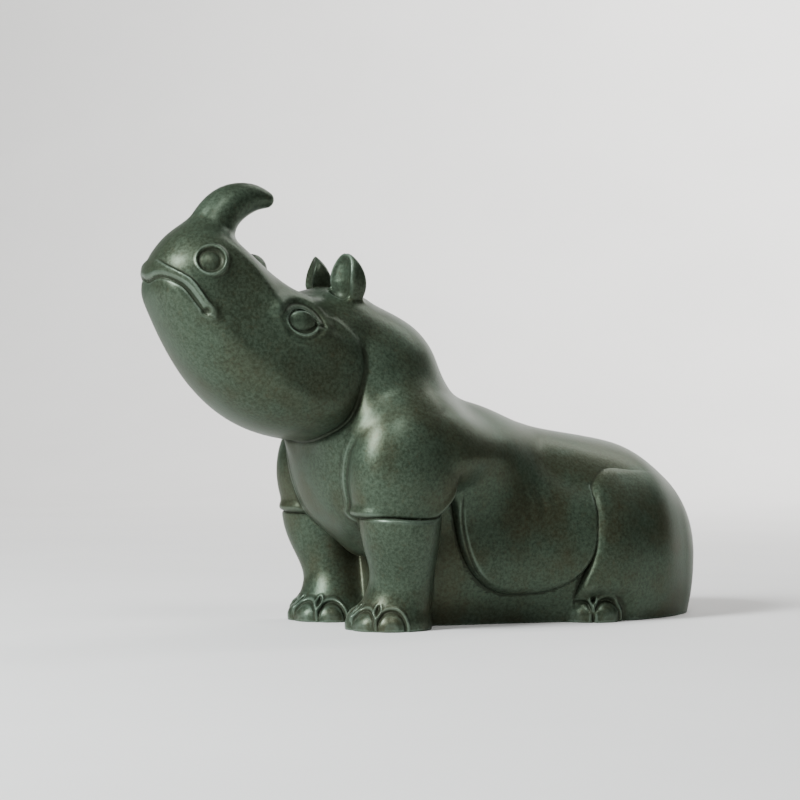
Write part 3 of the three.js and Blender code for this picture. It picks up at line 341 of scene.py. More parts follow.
@dataclass(frozen=True)
class Nostril:
    centre: tuple = (-170.6, 31.6, 222.0)
    faces: tuple = (-0.30, 0.90, 0.33)
    ring: float = 9.0
    bead: float = -0.8
    rear_bead: float = 1.0
    hollow: float = 8.3
    dome: float = 7.5

    def skin(self, x, w, z, skin):
        size = math.sqrt(sum(v * v for v in self.faces))
        fx, fw, fz = (v / size for v in self.faces)
        dx, dw, dz = x - self.centre[0], w - self.centre[1], z - self.centre[2]
        out = dx * fx + dw * fw + dz * fz
        reach = dx * dx + dw * dw + dz * dz
        around = np.sqrt(np.maximum(reach - out * out, 0.0))
        swollen = skin - 1.3 * bell(around, 13.0) * bell(out, 10.0)
        bead = self.bead + (self.rear_bead - self.bead) * ramp(-6.0, 7.0, dx)
        ringed = join(swollen, np.hypot(around - self.ring, out - 0.6) - bead, 3.0)
        bowl = np.hypot(around, (out - 1.2) * 2.2) - self.hollow
        hollowed = trim(ringed, -bowl * 0.7, 0.9)
        aside = np.sqrt(np.maximum(np.square(dx + 1.0) + dw * dw + np.square(dz + 0.5) - out * out, 0.0))
        dome = np.hypot(aside, (out + 3.0) * 2.2) - self.dome
        return join(hollowed, dome * 0.7, 0.8)


@dataclass(frozen=True)
class Eye:
    centre: tuple = (-115.4, 34.0, 186.0)
    slope: float = -11.0
    arc: float = 10.6
    offset: float = 3.6
    ball: tuple = (14.0, 10.6, 11.5)
    tear: float = 4.6

    def skin(self, x, w, z, skin):
        cos, sin = math.cos(math.radians(self.slope)), math.sin(math.radians(self.slope))
        dx, dz = x - self.centre[0], z - self.centre[2]
        a = dx * cos + dz * sin
        b = dz * cos - dx * sin
        side = np.abs(a)
        corner = math.sqrt(self.arc ** 2 - self.offset ** 2)
        past = np.abs(b) * corner < (side - corner) * self.offset
        lid = np.where(past, np.hypot(side - corner, b), np.hypot(side, np.abs(b) + self.offset) - self.arc)
        upper = ramp(-3.0, 3.0, b)
        lower = 1.0 - upper
        rim = 0.55 * bell(lid - 0.6, 0.8) * (0.3 + 0.7 * lower)
        hood = 0.7 * bell(lid - 1.6, 1.9) * upper
        fold = 0.25 * bell(lid - 4.4, 1.2) * upper
        brow = 1.3 * bell(lid - 8.0, 4.0) * upper
        trough = 0.25 * bell(lid - 3.4, 1.4) * lower
        bag = 0.35 * bell(lid - 6.0, 2.6) * lower
        half = self.tear / 2.0
        drop = np.hypot(np.maximum(np.abs(a - corner - half) - half, 0.0), b)
        lids = skin - rim - hood + fold - brow + trough - bag + 0.8 * bell(drop, 0.9)
        rx, rw, rz = self.ball
        ball = ellipsoid(x, w, z, (self.centre[0] + 0.4, self.centre[1] - 0.6, self.centre[2]), (rx, rw, rz))
        socket = lids + 1.5 * ramp(0.5, -0.4, lid)
        seated = np.minimum(socket, np.maximum(ball, lid + 0.3))
        return np.where(w > 20.0, np.where(lid < 0.5, seated, lids), skin)


@dataclass(frozen=True)
class Ear:
    centre: tuple = (-74.0, 20.0, 214.0)
    turn: float = 14.0
    lift: float = 5.0
    half: float = 11.0
    above: float = 17.0
    below: float = 17.5
    front: float = 6.4
    back: float = 9.9
    cup: tuple = (9.7, 6.0, 14.4)

    def skin(self, x, w, z, skin):
        turn, lift = math.radians(self.turn), math.radians(self.lift)
        nx, nw, nz = -math.cos(turn) * math.cos(lift), math.sin(turn) * math.cos(lift), math.sin(lift)
        dx, dw, dz = x - self.centre[0], w - self.centre[1], z - self.centre[2]
        out = dx * nx + dw * nw + (dz + 7.5) * nz
        across = (dx * nw - dw * nx) / math.hypot(nx, nw)
        ahead = out + 3.4 * ramp(-1.0, -12.0, dz) + 2.2 * ramp(2.0, 17.0, dz)
        scaled = np.hypot(across / self.half, dz / np.where(dz > 0.0, self.above, self.below))
        leaf = (scaled - 1.0) * 10.0
        rear = -self.back + 12.0 * np.square(np.clip((dz + 10.0) / 27.0, 0.0, 1.0))
        blade = trim(leaf, np.maximum(ahead - self.front, rear - out), 5.0)
        cup_w, cup_d, cup_z = self.cup
        cup = np.sqrt(np.square(across / cup_w) + np.square((ahead - self.front - 1.4) / cup_d) + np.square((dz - 0.6) / cup_z)) - 1.0
        return trim(join(skin, blade, 3.5), -6.0 * cup, 1.0)


@dataclass(frozen=True)
class Head:
    cos: float = 0.8
    sin: float = 0.6
    centre: tuple = (206.0, 60.0)
    round: float = 37.0
    power: float = 2.2
    outline: tuple = ((128.5, 68), (128.5, 54), (136, 41.5), (151, 30.5), (172, 21.3), (204, 17.3), (228, 20.8), (251, 29), (270, 38.8), (282.8, 48.2),
                      (288.8, 57), (290.4, 69), (287.5, 85.5), (273.5, 99), (250, 101), (222, 98), (196, 100.5), (166, 103.5), (144, 98.5), (133.5, 86))
    side: tuple = ((120, 46.5), (150, 47), (175, 46.5), (200, 45.5), (225, 41), (250, 36.5), (275, 33.5), (300, 31))
    skull_centre: tuple = (-88.0, 0.0, 176.0)
    skull_radii: tuple = (34.0, 35.0, 29.0)
    horn: tuple = ((-163, 0, 223, 20.5), (-157.2, 0, 238.8, 15.6), (-151.1, 0, 250.6, 13.4), (-141.8, 0, 258.6, 11.8), (-129.6, 0, 262.4, 8.7), (-119.2, 0, 261.8, 5.3))
    second: tuple = ((-130.0, 0.0, 203.0, 14.0), (-128.8, 0.0, 218.8, 9.6))
    ridge: tuple = ((-142.0, 14.0, 212.5, 5.5), (-106.0, 25.0, 192.5, 7.0))
    mouth: Mouth = field(default_factory=Mouth)
    nostril: Nostril = field(default_factory=Nostril)
    eye: Eye = field(default_factory=Eye)
    ear: Ear = field(default_factory=Ear)

    def __post_init__(self):
        object.__setattr__(self, "profile", Outline(self.centre, self.outline))
        object.__setattr__(self, "side_curve", Curve(self.side))

    def mass(self, x, w, z, forward, crown):
        inward = np.maximum(self.profile(forward, crown) + self.round, 0.0)
        inward = np.square(inward) / (inward + 4.0) * (1.0 + 4.0 / self.round)
        half = self.side_curve(forward)
        outward = w * self.round / half
        face = ((inward ** self.power + outward ** self.power + 1e-5) ** (1.0 / self.power) - self.round) * np.minimum(half / self.round, 1.0)
        return join(face, ellipsoid(x, w, z, self.skull_centre, self.skull_radii), 10.0)

    def skin(self, x, w, z, body):
        forward = self.sin * z - self.cos * x
        crown = self.cos * z + self.sin * x
        face = self.mass(x, w, z, forward, crown)
        low = 1.0 - ramp(166.0, 190.0, z)
        body = body - 1.5 * bell(face - 4.5, 8.0) * low * ramp(8.0, 26.0, w)
        skin = creased(body, face, 15.5 - 13.3 * low, 0.45 * low)
        horny = np.where(z > 190.0)[0]
        if len(horny):
            hx, hw, hz = x[horny], w[horny], z[horny]
            part = join(skin[horny], swept(hx, hw, hz, self.horn, 18), 9.0)
            part = join(part, bar(hx, hw, hz, *self.second), 6.0)
            skin[horny] = part
        skin = join(skin, bar(x, w, z, *self.ridge), 14.0)
        skin = skin - 1.1 * bell(bar(x, w, z, (-93.0, 38.5, 188.0, 0.0), (-79.5, 42.5, 174.0, 0.0)), 3.6)
        lips = np.where(forward > 225.0)[0]
        if len(lips):
            part = skin[lips] - self.mouth.relief(forward[lips], crown[lips], w[lips])
            pit = np.sqrt(sum(np.square(v[lips] - c) for v, c in zip((x, w, z), self.mouth.pit))) - self.mouth.pit_radius
            skin[lips] = trim(part, -pit, 2.0)
        for piece, (cx, cw, cz), reach in ((self.nostril, self.nostril.centre, 24.0), (self.eye, self.eye.centre, 40.0), (self.ear, self.ear.centre, 40.0)):
            near = np.where((np.abs(x - cx) < reach) & (np.abs(z - cz) < reach))[0]
            if len(near):
                skin[near] = piece.skin(x[near], w[near], z[near], skin[near])
        return skin


def creased(a, b, fillet, depth):
    """Joins two masses and cuts the bed of the crease between them a little deeper."""
    h = np.maximum(fillet - np.abs(a - b), 0.0) / fillet
    return np.minimum(a, b) - h * h * fillet / 4.0 + depth * bell(np.hypot(a, b), 1.8)


@dataclass(frozen=True)
class Foot:
    centre: tuple
    radius: float
    height: float
    nails: tuple
    half: float
    top: float
    reach: float
    long: float = 1.0

    def skin(self, x, w, z, skin):
        dx, dw = (x - self.centre[0]) / self.long, w - self.centre[1]
        out = np.hypot(dx, dw)
        pad = trim(out - self.radius - 1.5 * bell(z - 5.0, 9.0), z - self.height, 12.0)
        skin = join(skin, pad, 3.0)
        bearing = np.degrees(np.arctan2(dw, -dx))
        close = 1.0 - ramp(1.4, 4.4, pad)
        relief = np.zeros_like(skin)
        for nail in self.nails:
            across = np.abs(np.radians(bearing - nail) * self.reach) / self.half
            arch = (across ** 2.3 + (np.maximum(z, 0.0) / self.top) ** 2.3 + 1e-6) ** (1.0 / 2.3)
            relief += np.where(np.abs(bearing - nail) < 45.0, 1.2 * ramp(1.0, 0.3, arch) - 0.8 * bell(arch - 1.0, 0.11) + 0.7 * bell(arch - 1.2, 0.12), 0.0)
        for a, b in zip(self.nails[:-1], self.nails[1:]):
            between = 0.5 * (a + b)
            drop = np.hypot(np.radians(bearing - between) * self.reach, (z - self.top - 1.0) * 0.62)
            relief += np.where(np.abs(bearing - between) < 20.0, 0.6 * bell(drop - 2.4, 0.9) - 1.3 * bell(drop, 1.4), 0.0)
        return skin - relief * close


@dataclass(frozen=True)
class Figure:
    trunk: Trunk = field(default_factory=Trunk)
    flank: Flank = field(default_factory=Flank)
    quarter: ForeQuarter = field(default_factory=ForeQuarter)
    neck: Neck = field(default_factory=Neck)
    head: Head = field(default_factory=Head)
    fore_foot: Foot = Foot((-54.0, 38.3), 24.6, 14.0, (-64.0, -21.0, 21.0, 64.0), 8.6, 12.0, 25.5)
    hind_foot: Foot = Foot((85.4, 51.4), 18.4, 16.5, (29.0, 91.0), 10.2, 13.8, 19.4)
    tail: tuple = ((153.5, 0.0, 98.0, 2.0), (169.0, 0.0, 86.0, 3.2), (177.6, 0.0, 74.0, 4.2), (182.7, 0.0, 62.0, 4.6), (185.4, 0.0, 48.0, 5.0), (185.2, 0.0, 36.0, 5.8))

    def skin(self, points: Array) -> Array:
        x, z = points[:, 0], points[:, 2]
        w = np.sqrt(np.square(points[:, 1]) + np.float32(0.6))
        trunk = self.trunk.skin(x, w, z)
        skin = self.flank.skin(x, w, z, trunk)
        front = np.where(x < 90.0)[0]
        if len(front):
            fx, fw, fz = x[front], w[front], z[front]
            part = self.quarter.skin(fx, fw, fz, skin[front])
            neck = self.neck.skin(fx, fw, fz)
            firm = 1.0 - ramp(108.0, 150.0, fz)
            skin[front] = join(part, neck - 1.1 * bell(part - 2.2, 1.6) * firm, 2.6 + 14.9 * (1.0 - firm))
        ahead = np.where((x < -20.0) & (z > 90.0))[0]
        if len(ahead):
            skin[ahead] = self.head.skin(x[ahead], w[ahead], z[ahead], skin[ahead])
        for foot in (self.fore_foot, self.hind_foot):
            near = np.where((z < 32.0) & (np.abs(x - foot.centre[0]) < 48.0))[0]
            if len(near):
                skin[near] = foot.skin(x[near], w[near], z[near], skin[near])
        behind = np.where(x > 120.0)[0]
        if len(behind):
            skin[behind] = join(skin[behind], swept(x[behind], w[behind], z[behind], self.tail, 10), 4.0)
        return np.maximum(skin, -z)


@dataclass
class Skin:
    """The casting's surface as one closed mesh, made from the figure's field.

    Attributes:
        figure: The form.
        step: Edge of a grid cell in millimetres.
        low: Lowest corner of the grid; its z is rounded to whole cells below the base.
        high: Highest corner of the grid.
        block: Cells along the edge of a block that is sampled or passed over as one.
        batch: Points that one worker takes at a time.
        workers: Threads that share the sampling.
        faces: Triangles that are kept.
        probe: Reach of the gradient's probes in millimetres.
        bend_reach: Reach of the curvature's probes in millimetres.
    """

    figure: Figure
    step: float = 1.0
    low: tuple[float, float] = (-206.0, -86.0)
    high: tuple[float, float, float] = (204.0, 86.0, 284.0)
    block: int = 8
    batch: int = 60000
    workers: int = 4
    faces: int = 190000
    probe: float = 0.25
    bend_reach: float = 1.3

    def distances(self, points: Array) -> Array:
        """Measures the field at many points, shared over the workers.

        Args:
            points: Places in millimetres, one row each.

        Returns:
            The field's value at each place.
        """
        pieces = np.array_split(points.astype(np.float32), max(1, len(points) // self.batch))
        with ThreadPoolExecutor(self.workers) as pool:
            return np.concatenate(list(pool.map(self.figure.skin, pieces)))

    def gradients(self, points: Array) -> Array:
        """Measures the field's slope at many points, which is the outward normal on the surface.

        Args:
            points: Places in millimetres, one row each.

        Returns:
            The slope at each place, not normalised.
        """
        corners = np.array([[1, -1, -1], [-1, -1, 1], [-1, 1, -1], [1, 1, 1]], dtype=np.float32)
        slope = np.zeros((len(points), 3), dtype=np.float32)
        for corner in corners:
            slope += corner * self.distances(points + corner * self.probe)[:, None]
        return slope / (4.0 * self.probe)

    def grid(self) -> tuple[Array, Array]:
        """Samples the field where the surface may pass, and marks the rest as outside or inside.

        Returns:
            The grid's lowest node in millimetres, and the field at its nodes.
        """
        span = self.block * self.step
        low = np.array([self.low[0], self.low[1], -self.step])
        blocks = np.ceil((np.array(self.high) - low) / span).astype(int)
        nodes = blocks * self.block + 1
        centres = np.stack(np.meshgrid(*[np.arange(n) + 0.5 for n in blocks], indexing="ij"), axis=-1)
        coarse = self.distances((low + centres * span).reshape(-1, 3)).reshape(blocks)
        values = np.ones(nodes, dtype=np.float32)
        filled = np.repeat(np.repeat(np.repeat(coarse, self.block, 0), self.block, 1), self.block, 2)
        values[:-1, :-1, :-1] = np.where(filled > 0.0, 1.0, -1.0)
        near = np.argwhere(np.abs(coarse) < span * 1.25)
        corner = np.stack(np.meshgrid(*[np.arange(self.block + 1)] * 3, indexing="ij"), axis=-1).reshape(-1, 3)
        index = (near[:, None, :] * self.block + corner[None]).reshape(-1, 3)
        flat = np.unique(np.ravel_multi_index(index.T, nodes))
        index = np.stack(np.unravel_index(flat, nodes), axis=1)
        values.reshape(-1)[flat] = self.distances(low + index * self.step)
        values[:, :, 0] = 1.0
        return low, values

    def nets(self, low: Array, values: Array) -> tuple[Array, Array, Array]:
        """Lays a net of quads through the cells that the surface crosses.

        Args:
            low: The grid's lowest node in millimetres.
            values: The field at the grid's nodes.

        Returns:
            The vertices, the quads, and a mask of the vertices that lie in the base.
        """
        inside = values < 0.0
        cells = tuple(n - 1 for n in values.shape)
        count = np.zeros(cells, dtype=np.int8)
        for shift in np.ndindex(2, 2, 2):
            count += inside[tuple(slice(s, s + n) for s, n in zip(shift, cells))]
        active = np.argwhere((count > 0) & (count < 8))
        number = np.full(cells, -1, dtype=np.int32)
        number[tuple(active.T)] = np.arange(len(active))
        total = np.zeros((len(active), 3), dtype=np.float32)
        crossings = np.zeros(len(active), dtype=np.float32)
        for axis in range(3):
            one = np.eye(3, dtype=int)[axis]
            for corner in np.ndindex(2, 2, 2):
                if corner[axis]:
                    continue
                start = active + corner
                first = values[tuple(start.T)]
                last = values[tuple((start + one).T)]
                crossed = (first < 0.0) != (last < 0.0)
                share = np.where(crossed, first / np.where(crossed, first - last, 1.0), 0.0)
                place = np.array(corner, dtype=np.float32) + share[:, None] * one
                total += place * crossed[:, None]
                crossings += crossed
        vertices = low + (active + total / crossings[:, None]) * self.step
        quads = []
        for axis in range(3):
            a, b = (axis + 1) % 3, (axis + 2) % 3
            first = inside[tuple(slice(0, -1) if k == axis else slice(None) for k in range(3))]
            last = inside[tuple(slice(1, None) if k == axis else slice(None) for k in range(3))]
            edges = np.argwhere(first != last)
            edges = edges[(edges[:, a] > 0) & (edges[:, b] > 0)]
            leaving = first[tuple(edges.T)]
            ring = []
            for da, db in ((0, 0), (-1, 0), (-1, -1), (0, -1)):
                cell = edges.copy()
                cell[:, a] += da
                cell[:, b] += db
                ring.append(number[tuple(cell.T)])
            quad = np.stack(ring, axis=1)
            quad[~leaving] = quad[~leaving][:, ::-1]
            quads.append(quad)
        return vertices, np.concatenate(quads), active[:, 2] == 0

    def settle(self, vertices: Array, based: Array, rounds: int) -> Array:
        """Moves vertices along the field's slope until they lie on the surface.

        Args:
            vertices: Places in millimetres.
            based: The vertices that stay in the base's plane.
            rounds: How often each is moved.

        Returns:
            The settled places.
        """
        settled = vertices.astype(np.float32)
        settled[based, 2] = 0.0
        free = ~based
        for _ in range(rounds):
            slope = self.gradients(settled[free])
            size = np.maximum(np.sum(slope * slope, axis=1), 0.2)
            move = np.clip(self.distances(settled[free]) / size, -self.step, self.step)
            settled[free] -= move[:, None] * slope
            settled[free, 2] = np.maximum(settled[free, 2], 0.02)
        return settled

    def rim(self, vertices: Array, based: Array, rounds: int) -> Array:
        """Moves the base's outer vertices, within its plane, to where the sides meet it.

        Args:
            vertices: Places in millimetres.
            based: The vertices in the base.
            rounds: How often each is moved.

        Returns:
            The places with the rim settled.
        """
        settled = vertices.copy()
        index = np.where(based)[0]
        distance = self.distances(settled[index] + [0.0, 0.0, self.probe])
        outer = index[distance > -0.8 * self.step]
        for _ in range(rounds):
            lifted = settled[outer] + np.array([0.0, 0.0, 2.0 * self.probe], dtype=np.float32)
            slope = self.gradients(lifted)
            size = np.maximum(np.sum(slope[:, :2] ** 2, axis=1), 0.2)
            move = np.clip(self.distances(lifted) / size, -self.step, self.step)
            settled[outer, :2] -= move[:, None] * slope[:, :2]
        return settled

    def curvature(self, points: Array) -> Array:
        """Measures how strongly the surface bends out (positive) or in (negative).

        Args:
            points: Places on the surface in millimetres.

        Returns:
            The sum of the two curvatures, per millimetre.
        """
        total = -6.0 * self.distances(points)
        for axis in range(3):
            for side in (-1.0, 1.0):
                step = np.zeros(3, dtype=np.float32)
                step[axis] = side * self.bend_reach
                total += self.distances(points + step)
        return total / self.bend_reach ** 2

    def thin(self, vertices: Array, quads: Array) -> tuple[Array, Array]:
        """Collapses the net to fewer triangles, most where it is flat.

        Args:
            vertices: Places in millimetres.
            quads: Four vertices each.

        Returns:
            The kept vertices and triangles.
        """
        mesh = bpy.data.meshes.new("net")
        mesh.vertices.add(len(vertices))
        mesh.vertices.foreach_set("co", vertices.astype(np.float32).ravel())
        mesh.loops.add(quads.size)
        mesh.loops.foreach_set("vertex_index", quads.astype(np.int32).ravel())
        mesh.polygons.add(len(quads))
        mesh.polygons.foreach_set("loop_start", np.arange(0, quads.size, 4, dtype=np.int32))
        mesh.update(calc_edges=True)
        holder = bpy.data.objects.new("net", mesh)
        bpy.context.scene.collection.objects.link(holder)
        thinner = holder.modifiers.new("thin", "DECIMATE")
        thinner.ratio = min(1.0, self.faces / (2.0 * len(quads)))
        thinner.use_collapse_triangulate = True
        result = holder.evaluated_get(bpy.context.evaluated_depsgraph_get()).to_mesh()
        result.calc_loop_triangles()
        kept = np.zeros(len(result.vertices) * 3, dtype=np.float32)
        result.vertices.foreach_get("co", kept)
        corners = np.zeros(len(result.loop_triangles) * 3, dtype=np.int32)
        result.loop_triangles.foreach_get("vertices", corners)
        bpy.data.objects.remove(holder)
        bpy.data.meshes.remove(mesh)
        return kept.reshape(-1, 3), corners.reshape(-1, 3)

    def build(self, name: str, middle: tuple[float, float]) -> bpy.types.Object:
        """Builds the mesh and sets it with the middle of its length and width at a place.

        Args:
            name: The object's name.
            middle: Where the middle of the length and width goes, in metres.

        Returns:
            The Blender object, in metres.
        """
        low, values = self.grid()
        vertices, quads, based = self.nets(low, values)
        log.info("net of %d quads", len(quads))
        vertices = self.rim(self.settle(vertices, based, 2), based, 3)
        vertices, triangles = self.thin(vertices, quads)
        based = vertices[:, 2] < 1e-4
        vertices = self.settle(vertices, based, 2)
        normals = self.gradients(vertices)
        normals /= np.maximum(np.linalg.norm(normals, axis=1, keepdims=True), 1e-6)
        bend = self.curvature(vertices)
        centre = (vertices.min(0) + vertices.max(0)) / 2.0
        placed = vertices - [centre[0], centre[1], 0.0]
        placed = placed * METRE + [middle[0], middle[1], 0.0]
        mesh = bpy.data.meshes.new(name)
        mesh.from_pydata([], [], [])
        mesh.vertices.add(len(placed))
        mesh.vertices.foreach_set("co", placed.astype(np.float32).ravel())
        mesh.loops.add(triangles.size)
        mesh.loops.foreach_set("vertex_index", triangles.ravel())
        mesh.polygons.add(len(triangles))
        mesh.polygons.foreach_set("loop_start", np.arange(0, triangles.size, 3, dtype=np.int32))
        mesh.polygons.foreach_set("use_smooth", np.ones(len(triangles), dtype=bool))
        mesh.update(calc_edges=True)
        mesh.validate()
        triangles = np.zeros(len(mesh.loops), dtype=np.int32)
        mesh.loops.foreach_get("vertex_index", triangles)
        triangles = triangles.reshape(-1, 3)
        shaded = normals[triangles]
        shaded[based[triangles].all(axis=1)] = (0.0, 0.0, -1.0)
        mesh.normals_split_custom_set(shaded.reshape(-1, 3).tolist())
        worn_and_highlit = mesh.attributes.new("bend", "FLOAT", "POINT")
        worn_and_highlit.data.foreach_set("value", bend.astype(np.float32))
        piece = bpy.data.objects.new(name, mesh)
        bpy.context.scene.collection.objects.link(piece)
        piece["shift"] = [float(middle[0] - centre[0] * METRE), float(middle[1] - centre[1] * METRE)]
        log.info("%s: %d triangles", name, len(triangles))
        return piece


class Socket(Enum):
    """Kinds of sockets that the effect groups use."""

    VALUE = "NodeSocketFloat"
    COLOUR = "NodeSocketColor"
    PLACE = "NodeSocketVector"


@dataclass
class Weave:
    """A node tree that is being wired, with short ways to add and link nodes.

    Attributes:
        tree: The node tree.
    """

    tree: bpy.types.NodeTree

    def add(self, kind: str, **settings: object) -> bpy.types.Node:
        """Adds a node.

        Args:
            kind: The node's type.
            **settings: Its properties.

        Returns:
            The node.
        """
        node = self.tree.nodes.new(kind)
        for name, value in settings.items():
            setattr(node, name, value)
        return node

    def feed(self, socket: bpy.types.NodeSocket, source: object) -> None:
        """Links a source to a socket, or sets the socket's value.

        Args:
            socket: The input.
            source: An output socket, a number or a colour.
        """
        if isinstance(source, bpy.types.NodeSocket):
            self.tree.links.new(source, socket)
        else:
            socket.default_value = source

    def math(self, operation: str, *inputs: object, clamp: bool = False) -> bpy.types.NodeSocket:
        """Adds a sum, product or other operation.

        Args:
            operation: Blender's name of the operation.
            *inputs: Sockets or numbers.
            clamp: Whether the result stays from 0 to 1.

        Returns:
            The result.
        """
        node = self.add("ShaderNodeMath", operation=operation, use_clamp=clamp)
        for socket, source in zip(node.inputs, inputs):
            self.feed(socket, source)
        return node.outputs[0]

    def span(self, source: object, low: float, high: float, start: float = 0.0,
             end: float = 1.0) -> bpy.types.NodeSocket:
        """Maps a value smoothly from one range to another.

        Args:
            source: The value.
            low: Where the ramp starts.
            high: Where the ramp ends.
            start: The result at low.
            end: The result at high.

        Returns:
            The mapped value.
        """
        node = self.add("ShaderNodeMapRange", interpolation_type="SMOOTHSTEP")
        for socket, value in zip(node.inputs, (source, low, high, start, end)):
            self.feed(socket, value)
        return node.outputs[0]

    def noise(self, place: object, scale: object, detail: float = 3.0,
              roughness: float = 0.6) -> bpy.types.NodeSocket:
        """Adds a noise.

        Args:
            place: Where it is sampled.
            scale: Its frequency.
            detail: Its octaves.
            roughness: The weight of the fine octaves.

        Returns:
            Its value.
        """
        node = self.add("ShaderNodeTexNoise", noise_dimensions="3D")
        self.feed(node.inputs["Vector"], place)
        self.feed(node.inputs["Scale"], scale)
        node.inputs["Detail"].default_value = detail
        node.inputs["Roughness"].default_value = roughness
        return node.outputs[0]

    def mix(self, share: object, first: object, second: object,
            blend: str = "MIX") -> bpy.types.NodeSocket:
        """Mixes two colours.

        Args:
            share: How much of the second.
            first: A socket or a colour.
            second: A socket or a colour.
            blend: Blender's name of the way of mixing.

        Returns:
            The colour.
        """
        node = self.add("ShaderNodeMix", data_type="RGBA", blend_type=blend)
        self.feed(node.inputs[0], share)
        self.feed(node.inputs[6], first)
        self.feed(node.inputs[7], second)
        return node.outputs[2]

    def group(self, tree: bpy.types.NodeTree, **inputs: object) -> bpy.types.Node:
        """Places an effect group.

        Args:
            tree: The effect.
            **inputs: Values by socket name, with underscores for spaces.

        Returns:
            The group's node.
        """
        node = self.add("ShaderNodeGroup", node_tree=tree)
        for name, value in inputs.items():
            self.feed(node.inputs[name.replace("_", " ")], value)
        return node


@dataclass(frozen=True)
class Effect:
    """A shader effect that materials share, as a node group.

    Attributes:
        name: The group's name.
        inputs: Its inputs: name, kind and value.
        outputs: Its outputs: name and kind.
    """

    name: str
    inputs: tuple[tuple[str, Socket, object], ...]
    outputs: tuple[tuple[str, Socket], ...]

    def start(self) -> tuple[Weave, bpy.types.Node, bpy.types.Node]:
        """Makes the group with its sockets.

        Returns:
            The weave, the input node and the output node.
        """
        tree = bpy.data.node_groups.new(self.name, "ShaderNodeTree")
        for name, kind, value in self.inputs:
            socket = tree.interface.new_socket(name, in_out="INPUT", socket_type=kind.value)
            socket.default_value = value
        for name, kind in self.outputs:
            tree.interface.new_socket(name, in_out="OUTPUT", socket_type=kind.value)
        weave = Weave(tree)
        return weave, weave.add("NodeGroupInput"), weave.add("NodeGroupOutput")


@dataclass(frozen=True)
class Mottle(Effect):
    """Fine patches and specks, as a chemical patina or cast plaster shows them."""

    name: str = "mottle"
    inputs: tuple[tuple[str, Socket, object], ...] = (
        ("Place", Socket.PLACE, (0.0, 0.0, 0.0)),
        ("Cloud Scale", Socket.VALUE, 30.0),
        ("Grain Scale", Socket.VALUE, 600.0),
        ("Contrast", Socket.VALUE, 0.5),
    )
    outputs: tuple[tuple[str, Socket], ...] = (
        ("Cloud", Socket.VALUE),
        ("Grain", Socket.VALUE),
        ("Specks", Socket.VALUE),
    )

    def build(self) -> bpy.types.NodeTree:
        """Wires the group.

        Returns:
            The node group.
        """
        weave, given, result = self.start()
        place = given.outputs["Place"]
        cloud = weave.noise(place, given.outputs["Cloud Scale"], 4.0, 0.6)
        grain = weave.noise(place, given.outputs["Grain Scale"], 4.0, 0.7)
        speck = weave.noise(place, weave.math("MULTIPLY", given.outputs["Grain Scale"], 0.55), 2.0, 0.8)
        lows = weave.math("MULTIPLY_ADD", given.outputs["Contrast"], 0.22, 0.2)
        tops = weave.math("SUBTRACT", 1.0, lows)
        for name, source in (("Cloud", cloud), ("Grain", grain)):
            node = weave.add("ShaderNodeMapRange", interpolation_type="SMOOTHSTEP")
            weave.feed(node.inputs[0], source)
            weave.feed(node.inputs[1], lows)
            weave.feed(node.inputs[2], tops)
            weave.feed(result.inputs[name], node.outputs[0])
        weave.feed(result.inputs["Specks"], weave.span(speck, 0.54, 0.78))
        return weave.tree


@dataclass(frozen=True)
class WearAndHighlight(Effect):
    """Splits the surface's bend into edges, which are worn and also carry a painted highlight, and sheltered hollows.
    """

    name: str = "wear_and_highlight"
    inputs: tuple[tuple[str, Socket, object], ...] = (
        ("Bend", Socket.VALUE, 0.0),
        ("Edge", Socket.VALUE, 0.25),
        ("Hollow", Socket.VALUE, 0.2),
        ("Breakup", Socket.VALUE, 0.5),
    )
    outputs: tuple[tuple[str, Socket], ...] = (("Edges", Socket.VALUE), ("Hollows", Socket.VALUE))

    def build(self) -> bpy.types.NodeTree:
        """Wires the group.

        Returns:
            The node group.
        """
        weave, given, result = self.start()
        out = weave.math("DIVIDE", given.outputs["Bend"], given.outputs["Edge"])
        back = weave.math("DIVIDE", weave.math("MULTIPLY", given.outputs["Bend"], -1.0), given.outputs["Hollow"])
        broken = weave.math("MULTIPLY_ADD", given.outputs["Breakup"], 0.9, 0.45)
        # Convex edges: used both as rubbed wear and as a painted highlight.
        edges = weave.math("MULTIPLY", weave.span(out, 0.25, 1.0), broken, clamp=True)
        weave.feed(result.inputs["Edges"], edges)
        weave.feed(result.inputs["Hollows"], weave.span(back, 0.2, 1.0))
        return weave.tree


